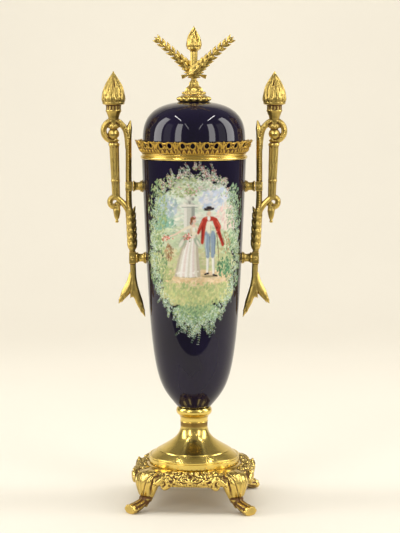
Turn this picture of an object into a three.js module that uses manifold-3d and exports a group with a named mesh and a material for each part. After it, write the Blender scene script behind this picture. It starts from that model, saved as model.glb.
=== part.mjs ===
// A covered porcelain vase in gilt brass mounts: a torch handle on each side and a torch finial on its lid.
// Millimetres, +Z up, the feet stand on z = 0 and the painted front faces -Y.
import * as THREE from 'three';
import { mergeVertices } from 'three/addons/utils/BufferGeometryUtils.js';
import Module from 'manifold-3d';

const wasm = await Module();
wasm.setup();

// Fits and facets
const clearance = 0.3;
const roundSides = 24;
const smallSides = 8;

// Cast base: a bombé skirt with a flat top plate, on four leaf-carved legs
const baseHeight = 43;
const baseTurnDegrees = -3.5;
const plateThickness = 4;
const plateRadius = 50;
const skirtDrop = 14.4;
const skirtFaceRadius = 64.5;
const skirtCornerRadius = 71;
const skirtWall = 5;
const skirtReliefDepth = 0.9;
const skirtSides = 28;
const kneeRadius = 71.5;
const kneeHalfWidth = 12.5;
const kneeThickness = 8;
const ankleRadius = 69;
const ankleHeight = 14;
const ankleHalfWidth = 5;
const toeReach = 93;
const toeHeight = 9.5;
const toeHalfWidth = 8.4;
const toeTipTaper = 0.86;
const legCount = 4;
const voluteOffset = 28;
const voluteRadius = 4.6;
const voluteStrap = 2.4;
const voluteRelief = 3;
const voluteInset = 2;

// Spun socle: a disc, a shallow cone, a trumpet stem and a round collar with a cup for the porcelain
const discInset = 1.4;
const discEdgeHeight = 8.6;
const discBevel = 1.2;
const coneTopRadius = 39.6;
const coneRise = 5;
const stemRadius = 14.6;
const stemHeight = 45;
const stemFlareHeight = 5.6;
const stemFlareWidth = 1.2;
const collarRadius = 19.2;
const collarHeight = 10.6;
const cupRadius = 15.3;
const cupDepth = 4.6;
const socleWall = 2;

// Porcelain body: its outline is one cubic curve from the collar to the shoulder below the rim
const bodyHeight = 264.4;
const bodyFootInset = 0.4;
const bellyRadius = 42.3;
const bellyRise = 27.5;
const shoulderPullRadius = 46.6;
const shoulderPullRise = 30.5;
const shoulderRadius = 55.3;
const bodyWall = 4;
const rimHeight = 6.7;
const rimInset = 2.1;

// Spun rim ring and pierced gallery
const ringOverhang = 1.4;
const ringHeight = 6.4;
const beadHeight = 3.8;
const beadRounding = 0.7;
const hollowDepth = 2.1;
const ringLipInset = 1.1;
const galleryFootOverhang = 1.1;
const galleryHeight = 13.7;
const galleryFlare = 7;
const galleryWall = 1.3;
const galleryFootHeight = 4.4;
const galleryFootFlare = 0.9;
const galleryMotifs = 15;
const galleryTurnDegrees = -6;
const galleryHoleRadius = 2.6;
const galleryHoleSides = 5;
const galleryTipRise = 1.3;
const galleryTipFlare = 0.7;

// Lid: a porcelain dome with a locating flange that drops into the mouth
const lidInset = 0.9;
const lidStraight = 14;
const lidRise = 40;
const lidWall = 3.5;
const flangeDepth = 6;
const flangeWall = 3.5;

// Finial: a scalloped rosette, then a torch with two crossed laurel branches
const rosetteRadius = 19.4;
const rosetteHeight = 6;
const rosetteScallops = 10;
const scallopDepth = 1.1;
const rosetteRimInset = 0.8;
const bellRadius = 12.7;
const bellHeight = 10.5;
const torchStemRadius = 2.7;
const crossingRise = 24.2;
const torchShaftRadius = 3.8;
const torchCupRise = 49;
const torchCupRadius = 7.6;
const finialFlameHeight = 23.5;
const finialFlameRadius = 7.9;
const branchReach = 43;
const branchRise = 38;
const branchStubReach = 13;
const branchStubDrop = 5.6;
const branchPairs = 5;
const laurelLength = 12.5;
const laurelHalfWidth = 3.2;
const laurelSpread = 6;

// Handles: each is one casting of a beaded rod, a fluted torch hung from it by scrolls, and leaves.
// The upper spacer hangs below the body's shoulder, and a drop or rise is measured from it.
const upperBossDrop = 28.9;
const bossSpacing = 76.3;
const rodStandoff = 14.65;
const rodHalfWidth = 3.2;
const rodHalfDepth = 3.4;
const rodTipRise = 69.7;
const forkDropBelowLowerBoss = 19;
const upperBlockHeight = 10.5;
const lowerBlockHeight = 13;
const blockHalfWidth = 3.8;
const blockDepth = 9.6;
const torchStandoff = 16;
const tubeTopRise = 42.7;
const tubeLength = 52;
const tubeBandRise = 15;
const torchTubeTopRadius = 4.8;
const torchTubeBottomRadius = 4.1;
const tubeLean = 3;
const hoopRise = 58.7;
const hoopRadius = 12;
const hoopHalfThickness = 2.9;
const hoopHalfDepth = 4;
const curlDrop = 16.9;
const curlInset = 1;
const curlRadius = 5.2;
const curlHalfThickness = 2.5;
const curlHalfDepth = 3.8;
const pendantDrop = 39.3;
const pendantInset = 2;
const pendantRadius = 4;
const handleCupRise = 87.7;
const handleCupRadius = 11.9;
const handleFlameHeight = 35;
const handleFlameRadius = 11.6;
const huskRiseAboveLowerBoss = 8;
const huskTiers = 4;
const huskPitch = 9.6;
const huskLength = 13.5;
const outerLeafReach = 16;
const outerLeafDrop = 30.5;
const innerLeafReach = 12.4;
const innerLeafDrop = 45;
const middleLeafReach = 1;
const middleLeafDrop = 25.5;
const forkLeafHalfWidth = 3.7;
const forkLeafHalfDepth = 4.2;
const forkLeafBend = 1.5;

// Spacers: turned spools between the porcelain and the handles
const bossFlareRadius = 6.6;
const bossWaistRadius = 4.2;
const bossLip = 1.8;

// Levels and radii that follow from the sizes above
const degree = Math.PI / 180;
const socleBottom = baseHeight + clearance;
const discRadius = plateRadius - discInset;
const collarBottom = socleBottom + stemHeight + stemFlareHeight;
const collarTop = collarBottom + collarHeight;
const bodyBottom = collarTop + clearance;
const bodyFootRadius = collarRadius - bodyFootInset;
const shoulderTop = bodyBottom + bodyHeight;
const rimTop = shoulderTop + rimHeight;
const rimRadius = shoulderRadius - rimInset;
const mouthRadius = rimRadius - bodyWall;
const ringBottom = shoulderTop + clearance;
const ringTop = ringBottom + ringHeight;
const ringRadius = shoulderRadius + ringOverhang;
const galleryBottom = ringTop + clearance;
const galleryFootRadius = shoulderRadius + galleryFootOverhang;
const galleryFlareRadius = galleryFootRadius + galleryFlare;
const lidBottom = rimTop + clearance;
const lidRadius = shoulderRadius - lidInset;
const lidTop = lidBottom + lidStraight + lidRise;
const rosetteTop = lidTop + clearance + rosetteHeight;
const torchBottom = rosetteTop + clearance;

// The body's outline, and its radius at a height
const bodyCurve = new THREE.CubicBezierCurve(
  new THREE.Vector2(bodyFootRadius, bodyBottom),
  new THREE.Vector2(bellyRadius, bodyBottom + bellyRise),
  new THREE.Vector2(shoulderPullRadius, bodyBottom + shoulderPullRise),
  new THREE.Vector2(shoulderRadius, shoulderTop),
);

function bodyRadiusAt(height) {
  let low = 0;
  let high = 1;
  for (let i = 0; i < 30; i += 1) {
    const middle = (low + high) / 2;
    if (bodyCurve.getPoint(middle).y < height) low = middle;
    else high = middle;
  }
  return bodyCurve.getPoint(low).x;
}

// The dome's outline inside a wall, and how far its crown has fallen at a radius
function domeCurve(inset) {
  const springing = lidBottom + lidStraight;
  return new THREE.CubicBezierCurve(
    new THREE.Vector2(lidRadius - inset, springing),
    new THREE.Vector2(lidRadius - inset, springing + 0.56 * lidRise),
    new THREE.Vector2(0.83 * lidRadius - inset, lidTop - inset),
    new THREE.Vector2(0, lidTop - inset),
  );
}

function crownDropAt(radius) {
  const curve = domeCurve(0);
  let low = 0;
  let high = 1;
  for (let i = 0; i < 30; i += 1) {
    const middle = (low + high) / 2;
    if (curve.getPoint(middle).x > radius) low = middle;
    else high = middle;
  }
  return lidTop - curve.getPoint(low).y;
}

// Places on the handles, which follow the body's shoulder and stand off its side
const upperBossHeight = shoulderTop - upperBossDrop;
const lowerBossHeight = upperBossHeight - bossSpacing;
const rodUpperReach = bodyRadiusAt(upperBossHeight) + rodStandoff;
const rodLowerReach = bodyRadiusAt(lowerBossHeight) + rodStandoff;
const rodTipHeight = upperBossHeight + rodTipRise;
const forkHeight = lowerBossHeight - forkDropBelowLowerBoss;
const huskBottom = lowerBossHeight + huskRiseAboveLowerBoss;
const torchReach = rodUpperReach + torchStandoff;
const torchTubeTop = upperBossHeight + tubeTopRise;
const torchTubeBottom = torchTubeTop - tubeLength;
const hoopHeight = upperBossHeight + hoopRise;
const curlHeight = upperBossHeight - curlDrop;
const curlReach = torchReach - curlInset;
const pendantHeight = upperBossHeight - pendantDrop;
const handleCupHeight = upperBossHeight + handleCupRise;

// Solids and booleans
function solidOf(geometry) {
  geometry.deleteAttribute('normal');
  geometry.deleteAttribute('uv');
  const merged = mergeVertices(geometry);
  const index = merged.index.array;
  const corners = [];
  for (let i = 0; i < index.length; i += 3) {
    const [a, b, c] = [index[i], index[i + 1], index[i + 2]];
    if (a !== b && b !== c && c !== a) corners.push(a, b, c);
  }
  return new wasm.Manifold(new wasm.Mesh({
    numProp: 3,
    vertProperties: new Float32Array(merged.attributes.position.array),
    triVerts: new Uint32Array(corners),
  }));
}

function geometryOf(solid) {
  const mesh = solid.getMesh();
  const geometry = new THREE.BufferGeometry();
  geometry.setAttribute('position', new THREE.BufferAttribute(mesh.vertProperties, 3));
  geometry.setIndex(new THREE.BufferAttribute(mesh.triVerts, 1));
  geometry.computeVertexNormals();
  return geometry;
}

function joined(geometries) {
  return geometries.map(solidOf).reduce((whole, next) => whole.add(next));
}

// A turned form about +Z from [radius, height] points, outer side first; angle 0 is the front
function turned(points, sides) {
  const profile = points.map(([radius, height]) => new THREE.Vector2(Math.max(radius, 0), height));
  return new THREE.LatheGeometry(profile, sides).rotateX(Math.PI / 2);
}

function ringProfile(points) {
  return [...points, points[0]];
}

// Moves every point of a turned form by its radius, angle and height
function reshaped(geometry, move) {
  const position = geometry.attributes.position;
  for (let i = 0; i < position.count; i += 1) {
    const x = position.getX(i);
    const y = position.getY(i);
    const [radius, angle, height] = move(Math.hypot(x, y), Math.atan2(x, -y), position.getZ(i));
    position.setXYZ(i, radius * Math.sin(angle), -radius * Math.cos(angle), height);
  }
  return geometry;
}

// A bar along a curve: section gives its half width across the sideways direction and its half depth
function bar(curve, sideways, rings, sides, section) {
  const geometry = new THREE.CylinderGeometry(1, 1, 1, sides, rings);
  const position = geometry.attributes.position;
  for (let i = 0; i < position.count; i += 1) {
    const share = position.getY(i) + 0.5;
    const across = position.getX(i);
    const through = position.getZ(i);
    const [halfWidth, halfDepth] = section(share, Math.atan2(across, through));
    const along = curve.getTangent(share);
    const outward = new THREE.Vector3().crossVectors(sideways, along).normalize();
    const point = curve.getPoint(share);
    point.addScaledVector(sideways, across * halfWidth);
    point.addScaledVector(outward, through * halfDepth);
    position.setXYZ(i, point.x, point.y, point.z);
  }
  return geometry;
}

// A leaf is a thin bar, pointed at both ends
function leaf(points, sideways, halfWidth, halfDepth, rings = 2) {
  const curve = new THREE.CatmullRomCurve3(points);
  return bar(curve, sideways, rings, 4, (share) => {
    const swell = Math.max(Math.sin(Math.PI * share ** 0.85), 0);
    return [halfWidth * swell, halfDepth * swell];
  });
}

// A flame rises from a cup in tongues that lean as they climb
function flame(foot, height, radius, tongues, rings) {
  const curve = new THREE.LineCurve3(foot, foot.clone().setZ(foot.z + height));
  return bar(curve, new THREE.Vector3(1, 0, 0), rings, tongues * 2, (share, angle) => {
    const outline = share < 0.14 ? 0.86 + share : (1 - ((share - 0.14) / 0.86) ** 1.35) ** 0.9;
    const tongue = 1 + 0.1 * Math.cos(tongues * angle + 5 * share) * (1 - share);
    const size = radius * Math.max(outline, 0) * tongue;
    return [size, size];
  });
}

// Footed base
function planRadius(angle) {
  const corner = Math.sin(2 * angle) ** 2;
  return skirtFaceRadius + (skirtCornerRadius - skirtFaceRadius) * corner;
}

function skirt() {
  const lowerEdge = baseHeight - skirtDrop;
  const outer = [[1.6, lowerEdge], [0, lowerEdge + 4.5], [4.4, lowerEdge + 10.5]];
  const inner = [[skirtWall + 2, lowerEdge + 7], [skirtWall + 1, lowerEdge]];
  const innerPlate = plateRadius - skirtWall;
  const points = [
    ...outer.map(([inset, height]) => [skirtFaceRadius - inset, height]),
    [plateRadius, baseHeight],
    [0, baseHeight],
    [0, baseHeight - plateThickness],
    [innerPlate, baseHeight - plateThickness],
    ...inner.map(([inset, height]) => [skirtFaceRadius - inset, height]),
  ];
  return reshaped(turned(ringProfile(points), skirtSides), (radius, angle, height) => {
    if (radius <= plateRadius) return [radius, angle, height];
    const outside = radius > skirtFaceRadius - skirtWall;
    const band = Math.round((height - lowerEdge) / 5);
    const relief = outside ? skirtReliefDepth * Math.cos((skirtSides / 2) * angle + band * Math.PI) : 0;
    return [radius + planRadius(angle) - skirtFaceRadius + relief, angle, height];
  });
}

function leg(angle) {
  const outward = new THREE.Vector3(Math.sin(angle), -Math.cos(angle), 0);
  const sideways = new THREE.Vector3(Math.cos(angle), Math.sin(angle), 0);
  const at = (radius, height) => outward.clone().multiplyScalar(radius).setZ(height);
  const kneeHeight = baseHeight - skirtDrop / 2;
  const halfKnee = kneeThickness / 2;
  const shin = new THREE.CatmullRomCurve3([
    at(plateRadius + 6, baseHeight - halfKnee),
    at(kneeRadius - 4, baseHeight - halfKnee),
    at(kneeRadius, kneeHeight - 2),
    at(ankleRadius + 1.5, (kneeHeight + ankleHeight) / 2),
    at(ankleRadius, ankleHeight),
    at(ankleRadius + 4, ankleHeight / 2),
  ]);
  const leafCarved = bar(shin, sideways, 6, 6, (share, turn) => {
    const width = share < 0.4 ? 8 + (kneeHalfWidth - 8) * (share / 0.4)
      : ankleHalfWidth + (kneeHalfWidth - ankleHalfWidth) * (1 - Math.min((share - 0.4) / 0.42, 1)) ** 1.2;
    const rib = Math.abs(Math.cos(turn)) > 0.9 ? 1.1 : 0.8;
    return [width, halfKnee * rib];
  });
  const sole = new THREE.CatmullRomCurve3([
    at(ankleRadius - 2, ankleHeight * 0.62),
    at((ankleRadius + toeReach) / 2 - 1, toeHeight * 0.42),
    at(toeReach, toeHeight * 0.36),
  ]);
  const toe = bar(sole, sideways, 3, 6, (share) => {
    const spread = Math.sin(Math.PI * Math.min(share, 0.62));
    const width = ankleHalfWidth + (toeHalfWidth - ankleHalfWidth) * spread;
    return [width * (share > 0.9 ? toeTipTaper : 1), toeHeight * (0.5 - 0.12 * share)];
  });
  return [leafCarved, toe];
}

// A volute's strap rises from the ankle along the leg's inner side and curls around an eye under the skirt
function volute(faceAngle, side) {
  const lowerEdge = baseHeight - skirtDrop;
  const eyeHeight = lowerEdge + voluteRadius * 0.5;
  const eyeAngle = voluteOffset / skirtFaceRadius;
  const legAngle = (180 * degree) / legCount;
  const skirtReach = planRadius(eyeAngle) - voluteInset;
  const footAngle = legAngle - (0.7 * ankleHalfWidth) / ankleRadius;
  const at = (turn, radius, height) => {
    const angle = faceAngle + side * turn;
    return new THREE.Vector3(radius * Math.sin(angle), -radius * Math.cos(angle), height);
  };
  const points = [
    at(footAngle, ankleRadius, ankleHeight),
    at((footAngle + eyeAngle) / 2 + 0.04, (ankleRadius + skirtReach) / 2, (ankleHeight + eyeHeight) / 2),
  ];
  for (let angle = 40; angle <= 280; angle += 60) {
    const size = voluteRadius * (1 - 0.45 * ((angle - 40) / 240));
    const turn = eyeAngle + (size * Math.cos(angle * degree)) / skirtFaceRadius;
    points.push(at(turn, skirtReach, eyeHeight + size * Math.sin(angle * degree)));
  }
  const middle = faceAngle + side * eyeAngle;
  const outward = new THREE.Vector3(Math.sin(middle), -Math.cos(middle), 0);
  return bar(new THREE.CatmullRomCurve3(points), outward, 4, 4, (share) => (
    [voluteRelief, voluteStrap * (1.1 - 0.4 * share)]
  ));
}

function footedBase() {
  const forms = [skirt()];
  for (let i = 0; i < legCount; i += 1) {
    const faceAngle = (i * 360 * degree) / legCount;
    forms.push(...leg(faceAngle + (180 * degree) / legCount));
    forms.push(volute(faceAngle, 1), volute(faceAngle, -1));
  }
  return geometryOf(joined(forms).trimByPlane([0, 0, 1], 0)).rotateZ(baseTurnDegrees * degree);
}

// Socle
function socle() {
  const coneBottom = socleBottom + discEdgeHeight;
  const coneTop = coneBottom + coneRise;
  const stemTop = socleBottom + stemHeight;
  const trumpet = new THREE.CubicBezierCurve(
    new THREE.Vector2(coneTopRadius - 0.6, coneTop + 0.5),
    new THREE.Vector2(coneTopRadius * 0.62, coneTop + 9),
    new THREE.Vector2(stemRadius, coneTop + 14),
    new THREE.Vector2(stemRadius, stemTop - 5.5),
  ).getPoints(4).map(({ x, y }) => [x, y]);
  const half = collarHeight / 2;
  const bead = [-55, 0, 55].map((angle) => [
    collarRadius - half + half * Math.cos(angle * degree),
    collarBottom + half + half * Math.sin(angle * degree),
  ]);
  const outer = [
    [discRadius, socleBottom],
    [discRadius, coneBottom - discBevel],
    [discRadius - 0.7 * discBevel, coneBottom],
    [coneTopRadius, coneTop],
    ...trumpet,
    [stemRadius, stemTop],
    [stemRadius + stemFlareWidth, collarBottom],
    ...bead,
    [cupRadius + 0.9, collarTop],
    [cupRadius, collarTop - cupDepth],
    [0, collarTop - cupDepth],
  ];
  const inner = [
    [0, collarTop - cupDepth - 2 * socleWall],
    [stemRadius - socleWall, collarTop - cupDepth - 2 * socleWall],
    [stemRadius - socleWall, coneTop + 17],
    [discRadius - socleWall, coneBottom - 1.5 * socleWall],
    [discRadius - socleWall, socleBottom],
  ];
  return turned(ringProfile([...outer, ...inner]), roundSides);
}

// Porcelain body: the stub below the curve stands in the collar's cup
function vaseBody() {
  const stubRadius = cupRadius - clearance;
  const stubBottom = collarTop - cupDepth + clearance;
  const outline = bodyCurve.getPoints(9).map(({ x, y }) => [x, y]);
  const inside = bodyCurve.getPoints(3).slice(1, -1).reverse().map(({ x, y }) => [x - bodyWall, y + 1]);
  return turned([
    [0, stubBottom],
    [stubRadius, stubBottom],
    [stubRadius, bodyBottom],
    ...outline,
    [rimRadius, shoulderTop],
    [rimRadius, rimTop],
    [mouthRadius, rimTop],
    [mouthRadius, shoulderTop],
    ...inside,
    [bodyFootRadius - bodyWall, bodyBottom + 2 * bodyWall],
    [0, bodyBottom + bodyWall],
  ], roundSides);
}

// Rim ring: a bead below and a narrow hollow above, seated on the body's shoulder
function rimRing() {
  const inside = rimRadius + clearance;
  const beadTop = ringBottom + beadHeight;
  return turned(ringProfile([
    [ringRadius - beadRounding, ringBottom],
    [ringRadius, ringBottom + 0.3 * beadHeight],
    [ringRadius, ringBottom + 0.7 * beadHeight],
    [ringRadius - beadRounding, beadTop],
    [ringRadius - hollowDepth, (beadTop + ringTop) / 2],
    [ringRadius - ringLipInset, ringTop],
    [inside, ringTop],
    [inside, ringBottom],
  ]), roundSides);
}

// Gallery: a flared band with a pair of round openings in each motif and a leaf tip between the pairs
function gallery() {
  const pitch = (360 * degree) / galleryMotifs;
  const edges = [-0.5, -0.35, 0, 0.35].map((share) => share * pitch);
  const footTop = galleryBottom + galleryFootHeight;
  const top = galleryBottom + galleryHeight;
  const flareTop = galleryFlareRadius - galleryTipFlare;
  const waist = galleryFootRadius + galleryFootFlare;
  const points = [
    [galleryFootRadius, galleryBottom],
    [waist, footTop],
    [flareTop, top - galleryTipRise],
    [flareTop - galleryWall, top - galleryTipRise],
    [waist - galleryWall, footTop],
    [galleryFootRadius - galleryWall, galleryBottom],
  ];
  const sides = galleryMotifs * edges.length;
  const band = reshaped(turned(ringProfile(points), sides), (radius, angle, height) => {
    const step = ((Math.round((angle * sides) / (2 * Math.PI)) % sides) + sides) % sides;
    const place = step % edges.length;
    const tip = place === 0 && height > footTop + 1 ? 1 : 0;
    const turn = Math.floor(step / edges.length) * pitch + edges[place];
    return [radius + galleryTipFlare * tip, turn, height + galleryTipRise * tip];
  });
  const holeHeight = (footTop + top - galleryTipRise) / 2;
  const holeOffset = edges[3] / 2;
  const holeLength = 2 * galleryFlare;
  const holes = [];
  for (let i = 0; i < galleryMotifs; i += 1) {
    for (const side of [-1, 1]) {
      const size = galleryHoleRadius;
      const hole = new THREE.CylinderGeometry(size, size, holeLength, galleryHoleSides);
      hole.translate(0, -(galleryFootRadius + galleryFlareRadius) / 2, holeHeight);
      holes.push(hole.rotateZ(i * pitch + side * holeOffset));
    }
  }
  return geometryOf(solidOf(band).subtract(joined(holes))).rotateZ(galleryTurnDegrees * degree);
}

// Lid
function lid() {
  const outside = domeCurve(0).getPoints(6).map(({ x, y }) => [x, y]);
  const inside = domeCurve(lidWall).getPoints(3).reverse().map(({ x, y }) => [x, y]);
  const flangeRadius = mouthRadius - clearance;
  return turned([
    [flangeRadius, lidBottom],
    [lidRadius, lidBottom],
    ...outside,
    ...inside,
    [flangeRadius - flangeWall, lidBottom + flangeWall],
    [flangeRadius - flangeWall, lidBottom - flangeDepth],
    [flangeRadius, lidBottom - flangeDepth],
    [flangeRadius, lidBottom],
  ], roundSides);
}

// Finial rosette: its underside follows the crown of the lid
function finialRosette() {
  const bottom = lidTop + clearance;
  const seatRadius = rosetteRadius - rosetteRimInset;
  const points = [
    [0, bottom],
    [seatRadius / 2, bottom - crownDropAt(seatRadius / 2)],
    [seatRadius, bottom - crownDropAt(seatRadius)],
    [rosetteRadius, bottom + 0.3 * rosetteHeight],
    [bellRadius + 1.5, rosetteTop],
    [0, rosetteTop],
  ];
  return reshaped(turned(points, rosetteScallops * 4), (radius, angle, height) => {
    const rim = Math.max(0, (radius - bellRadius) / (rosetteRadius - bellRadius));
    return [radius + scallopDepth * rim * (Math.cos(rosetteScallops * angle) - 1) / 2, angle, height];
  });
}

// Torch finial
function torch() {
  const crossing = torchBottom + crossingRise;
  const cup = torchBottom + torchCupRise;
  const bellTop = torchBottom + bellHeight;
  const points = [
    [0, torchBottom],
    [bellRadius, torchBottom],
    [bellRadius, torchBottom + 1.6],
    [bellRadius - 1.6, torchBottom + 2.8],
    [0.66 * bellRadius, torchBottom + 0.5 * bellHeight],
    [0.42 * bellRadius, torchBottom + 0.86 * bellHeight],
    [torchStemRadius + 1, bellTop + 2],
    [torchStemRadius, crossing - 3],
    [torchShaftRadius - 0.7, crossing + 3],
    [torchShaftRadius, cup - 4],
    [torchCupRadius, cup - 0.8],
    [torchCupRadius - 0.4, cup + 0.8],
    [0, cup + 1.2],
  ];
  return reshaped(turned(points, smallSides), (radius, angle, height) => {
    const fluted = height > crossing && height < cup - 3;
    const leafy = height > torchBottom + 2 && height < bellTop;
    const carving = fluted ? 0.1 : 0.07 * Number(leafy);
    return [radius * (1 + carving * Math.cos((smallSides / 2) * angle)), angle, height];
  });
}

function laurelBranch(side) {
  const crossing = torchBottom + crossingRise;
  const depth = -side * (torchShaftRadius - 0.6);
  const at = (reach, rise, y = depth) => new THREE.Vector3(side * reach, y, crossing + rise);
  const forward = new THREE.Vector3(0, 1, 0);
  const stemCurve = new THREE.CatmullRomCurve3([
    at(-branchStubReach, -branchStubDrop),
    at(0, 0),
    at(0.34 * branchReach, 0.31 * branchRise),
    at(0.7 * branchReach, 0.72 * branchRise),
    at(branchReach, branchRise),
  ]);
  const stem = bar(stemCurve, forward, 6, 4, (share) => (
    share < 0.1 ? [2.2, 2.4] : [1.5 - 0.8 * share, 1.5 - 0.8 * share]
  ));
  const forms = [stem];
  for (let i = 0; i < branchPairs; i += 1) {
    const share = 0.3 + (0.5 * i) / (branchPairs - 1);
    const foot = stemCurve.getPoint(share);
    const along = stemCurve.getTangent(share);
    const across = new THREE.Vector3(along.z, 0, -along.x);
    const size = laurelLength * (1 - 0.25 * (i / branchPairs));
    for (const hand of [-1, 1]) {
      const spread = (hand * laurelSpread * size) / laurelLength;
      const tip = foot.clone().addScaledVector(along, size).addScaledVector(across, spread);
      const middle = foot.clone().addScaledVector(along, 0.45 * size).addScaledVector(across, 0.75 * spread);
      middle.y -= 0.5 * hand;
      forms.push(leaf([foot, middle, tip], forward, 1.1, laurelHalfWidth));
    }
  }
  return forms;
}

function finialTorch() {
  const cup = new THREE.Vector3(0, 0, torchBottom + torchCupRise);
  return geometryOf(joined([
    torch(),
    flame(cup, finialFlameHeight, finialFlameRadius, 5, 5),
    ...laurelBranch(1),
    ...laurelBranch(-1),
  ]));
}

// Handle, modelled on the +X side
function handlePoint(reach, height, depth = 0) {
  return new THREE.Vector3(reach, depth, height);
}

const handleSideways = new THREE.Vector3(0, 1, 0);

function handleRod() {
  const curve = new THREE.CatmullRomCurve3([
    handlePoint(rodLowerReach - 0.6, forkHeight - 6),
    handlePoint(rodLowerReach, lowerBossHeight),
    handlePoint((rodLowerReach + rodUpperReach) / 2 + 0.4, (lowerBossHeight + upperBossHeight) / 2),
    handlePoint(rodUpperReach, upperBossHeight - 14),
    handlePoint(rodUpperReach, (upperBossHeight + rodTipHeight) / 2),
    handlePoint(rodUpperReach - 0.3, rodTipHeight - 14),
    handlePoint(rodUpperReach - 2, rodTipHeight),
  ]);
  return bar(curve, handleSideways, 6, 6, (share) => {
    const taper = share > 0.9 ? 0.25 + 7.5 * (1 - share) : 1;
    return [rodHalfDepth * taper, rodHalfWidth * taper];
  });
}

function scroll(centre, radius, joint, lastAngle, halfThickness, halfDepth, rings) {
  const points = joint.map(([reach, height]) => handlePoint(reach, height));
  const firstAngle = 140;
  const steps = 7;
  for (let i = 0; i <= steps; i += 1) {
    const angle = (firstAngle + ((lastAngle - firstAngle) * i) / steps) * degree;
    points.push(handlePoint(centre.x + radius * Math.cos(angle), centre.z + radius * Math.sin(angle)));
  }
  return bar(new THREE.CatmullRomCurve3(points), handleSideways, rings, 4, (share) => (
    [halfDepth * (0.8 + 0.2 * Math.sin(Math.PI * share)), halfThickness * (1 - 0.2 * share)]
  ));
}

function handleScrolls() {
  const hoop = scroll(
    handlePoint(torchReach, hoopHeight), hoopRadius,
    [[rodUpperReach, hoopHeight - 18], [rodUpperReach + 1.6, hoopHeight - 6]],
    -85, hoopHalfThickness, hoopHalfDepth, 9,
  );
  const curl = scroll(
    handlePoint(curlReach, curlHeight), curlRadius,
    [[rodUpperReach - 0.8, curlHeight - 15], [rodUpperReach + 3.4, curlHeight - 5]],
    -120, curlHalfThickness, curlHalfDepth, 8,
  );
  return [hoop, curl];
}

function handleTorchHead() {
  const neck = handleCupHeight - 1.4;
  const crown = hoopHeight + hoopRadius;
  const points = [
    [0, hoopHeight - hoopRadius + 1.6],
    [5.2, hoopHeight - 5],
    [4.6, hoopHeight - 0.6],
    [5.2, hoopHeight + 6],
    [5.8, crown + 1.4],
    [8.3, crown + 8.6],
    [7.4, crown + 9.8],
    [8, neck - 1.2],
    [handleCupRadius, neck],
    [handleCupRadius, handleCupHeight + 1.6],
    [0, handleCupHeight + 2],
  ];
  return turned(points, smallSides).translate(torchReach, 0, 0);
}

function handleTube() {
  const band = torchTubeBottom + tubeBandRise;
  const radiusAt = (height) => {
    const share = (height - torchTubeBottom) / (torchTubeTop - torchTubeBottom);
    return torchTubeBottomRadius + (torchTubeTopRadius - torchTubeBottomRadius) * share;
  };
  const points = [
    [0, torchTubeBottom - 3],
    [torchTubeBottomRadius, torchTubeBottom - 2],
    [radiusAt(band), band - 1.5],
    [radiusAt(band) + 0.8, band],
    [radiusAt(band), band + 1.5],
    [torchTubeTopRadius, torchTubeTop],
    [torchTubeTopRadius + 1.2, torchTubeTop + 0.8],
    [torchTubeTopRadius + 1.2, torchTubeTop + 3.4],
    [0, torchTubeTop + 4.4],
  ];
  const tube = reshaped(turned(points, smallSides), (radius, angle, height) => {
    const fluted = height < torchTubeTop + 0.5 && radius < torchTubeTopRadius + 0.1;
    return [fluted ? radius * (1 + 0.06 * Math.cos((smallSides / 2) * angle)) : radius, angle, height];
  });
  const lean = new THREE.Matrix4().makeShear(0, 0, 0, 0, tubeLean / (torchTubeTop - torchTubeBottom), 0);
  const leaned = tube.translate(0, 0, -torchTubeTop).applyMatrix4(lean);
  return leaned.translate(torchReach, 0, torchTubeTop);
}

function pendant() {
  const top = curlHeight - 3;
  const height = top - pendantHeight;
  return turned([
    [0, pendantHeight],
    [1.7, pendantHeight + 1.2],
    [1.3, pendantHeight + 3.2],
    [0.75 * pendantRadius, pendantHeight + 0.45 * height],
    [pendantRadius, pendantHeight + 0.75 * height],
    [0, top],
  ], 6).translate(curlReach - pendantInset, 0, 0);
}

function husks() {
  const forms = [];
  for (let tier = 0; tier < huskTiers; tier += 1) {
    const foot = huskBottom + tier * huskPitch;
    const share = (foot - lowerBossHeight) / (upperBossHeight - lowerBossHeight);
    const reach = rodLowerReach + (rodUpperReach - rodLowerReach) * share + 0.4;
    const tip = foot + huskLength;
    const swing = rodHalfWidth + 1.6;
    for (const side of [-1, 1]) {
      forms.push(leaf([
        handlePoint(reach, foot),
        handlePoint(reach + 0.8 * swing * side, foot + 0.5 * huskLength),
        handlePoint(reach + swing * side, tip),
      ], handleSideways, 3.6, 1.3));
    }
  }
  return forms;
}

function forkLeaves() {
  const top = handlePoint(rodLowerReach - 0.5, forkHeight + 3);
  const blade = (reach, drop, bend) => leaf([
    top,
    handlePoint(rodLowerReach + 0.3 * reach + bend, forkHeight - 0.36 * drop),
    handlePoint(rodLowerReach + 0.62 * reach + bend, forkHeight - 0.68 * drop),
    handlePoint(rodLowerReach + reach, forkHeight - drop),
  ], handleSideways, forkLeafHalfDepth, forkLeafHalfWidth, 3);
  return [
    blade(outerLeafReach, outerLeafDrop, -forkLeafBend),
    blade(-innerLeafReach, innerLeafDrop, forkLeafBend),
    blade(-middleLeafReach, middleLeafDrop, 0),
  ];
}

function blocks() {
  const block = (reach, height, tall) => (
    new THREE.BoxGeometry(2 * blockHalfWidth, blockDepth, tall).translate(reach, 0, height)
  );
  return [
    block(rodUpperReach, upperBossHeight, upperBlockHeight),
    block(rodLowerReach, lowerBossHeight, lowerBlockHeight),
  ];
}

function handle() {
  const cup = handlePoint(torchReach, handleCupHeight);
  return joined([
    handleRod(),
    ...handleScrolls(),
    handleTorchHead(),
    flame(cup, handleFlameHeight, handleFlameRadius, 5, 5),
    handleTube(),
    pendant(),
    ...husks(),
    ...forkLeaves(),
    ...blocks(),
  ]);
}

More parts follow.
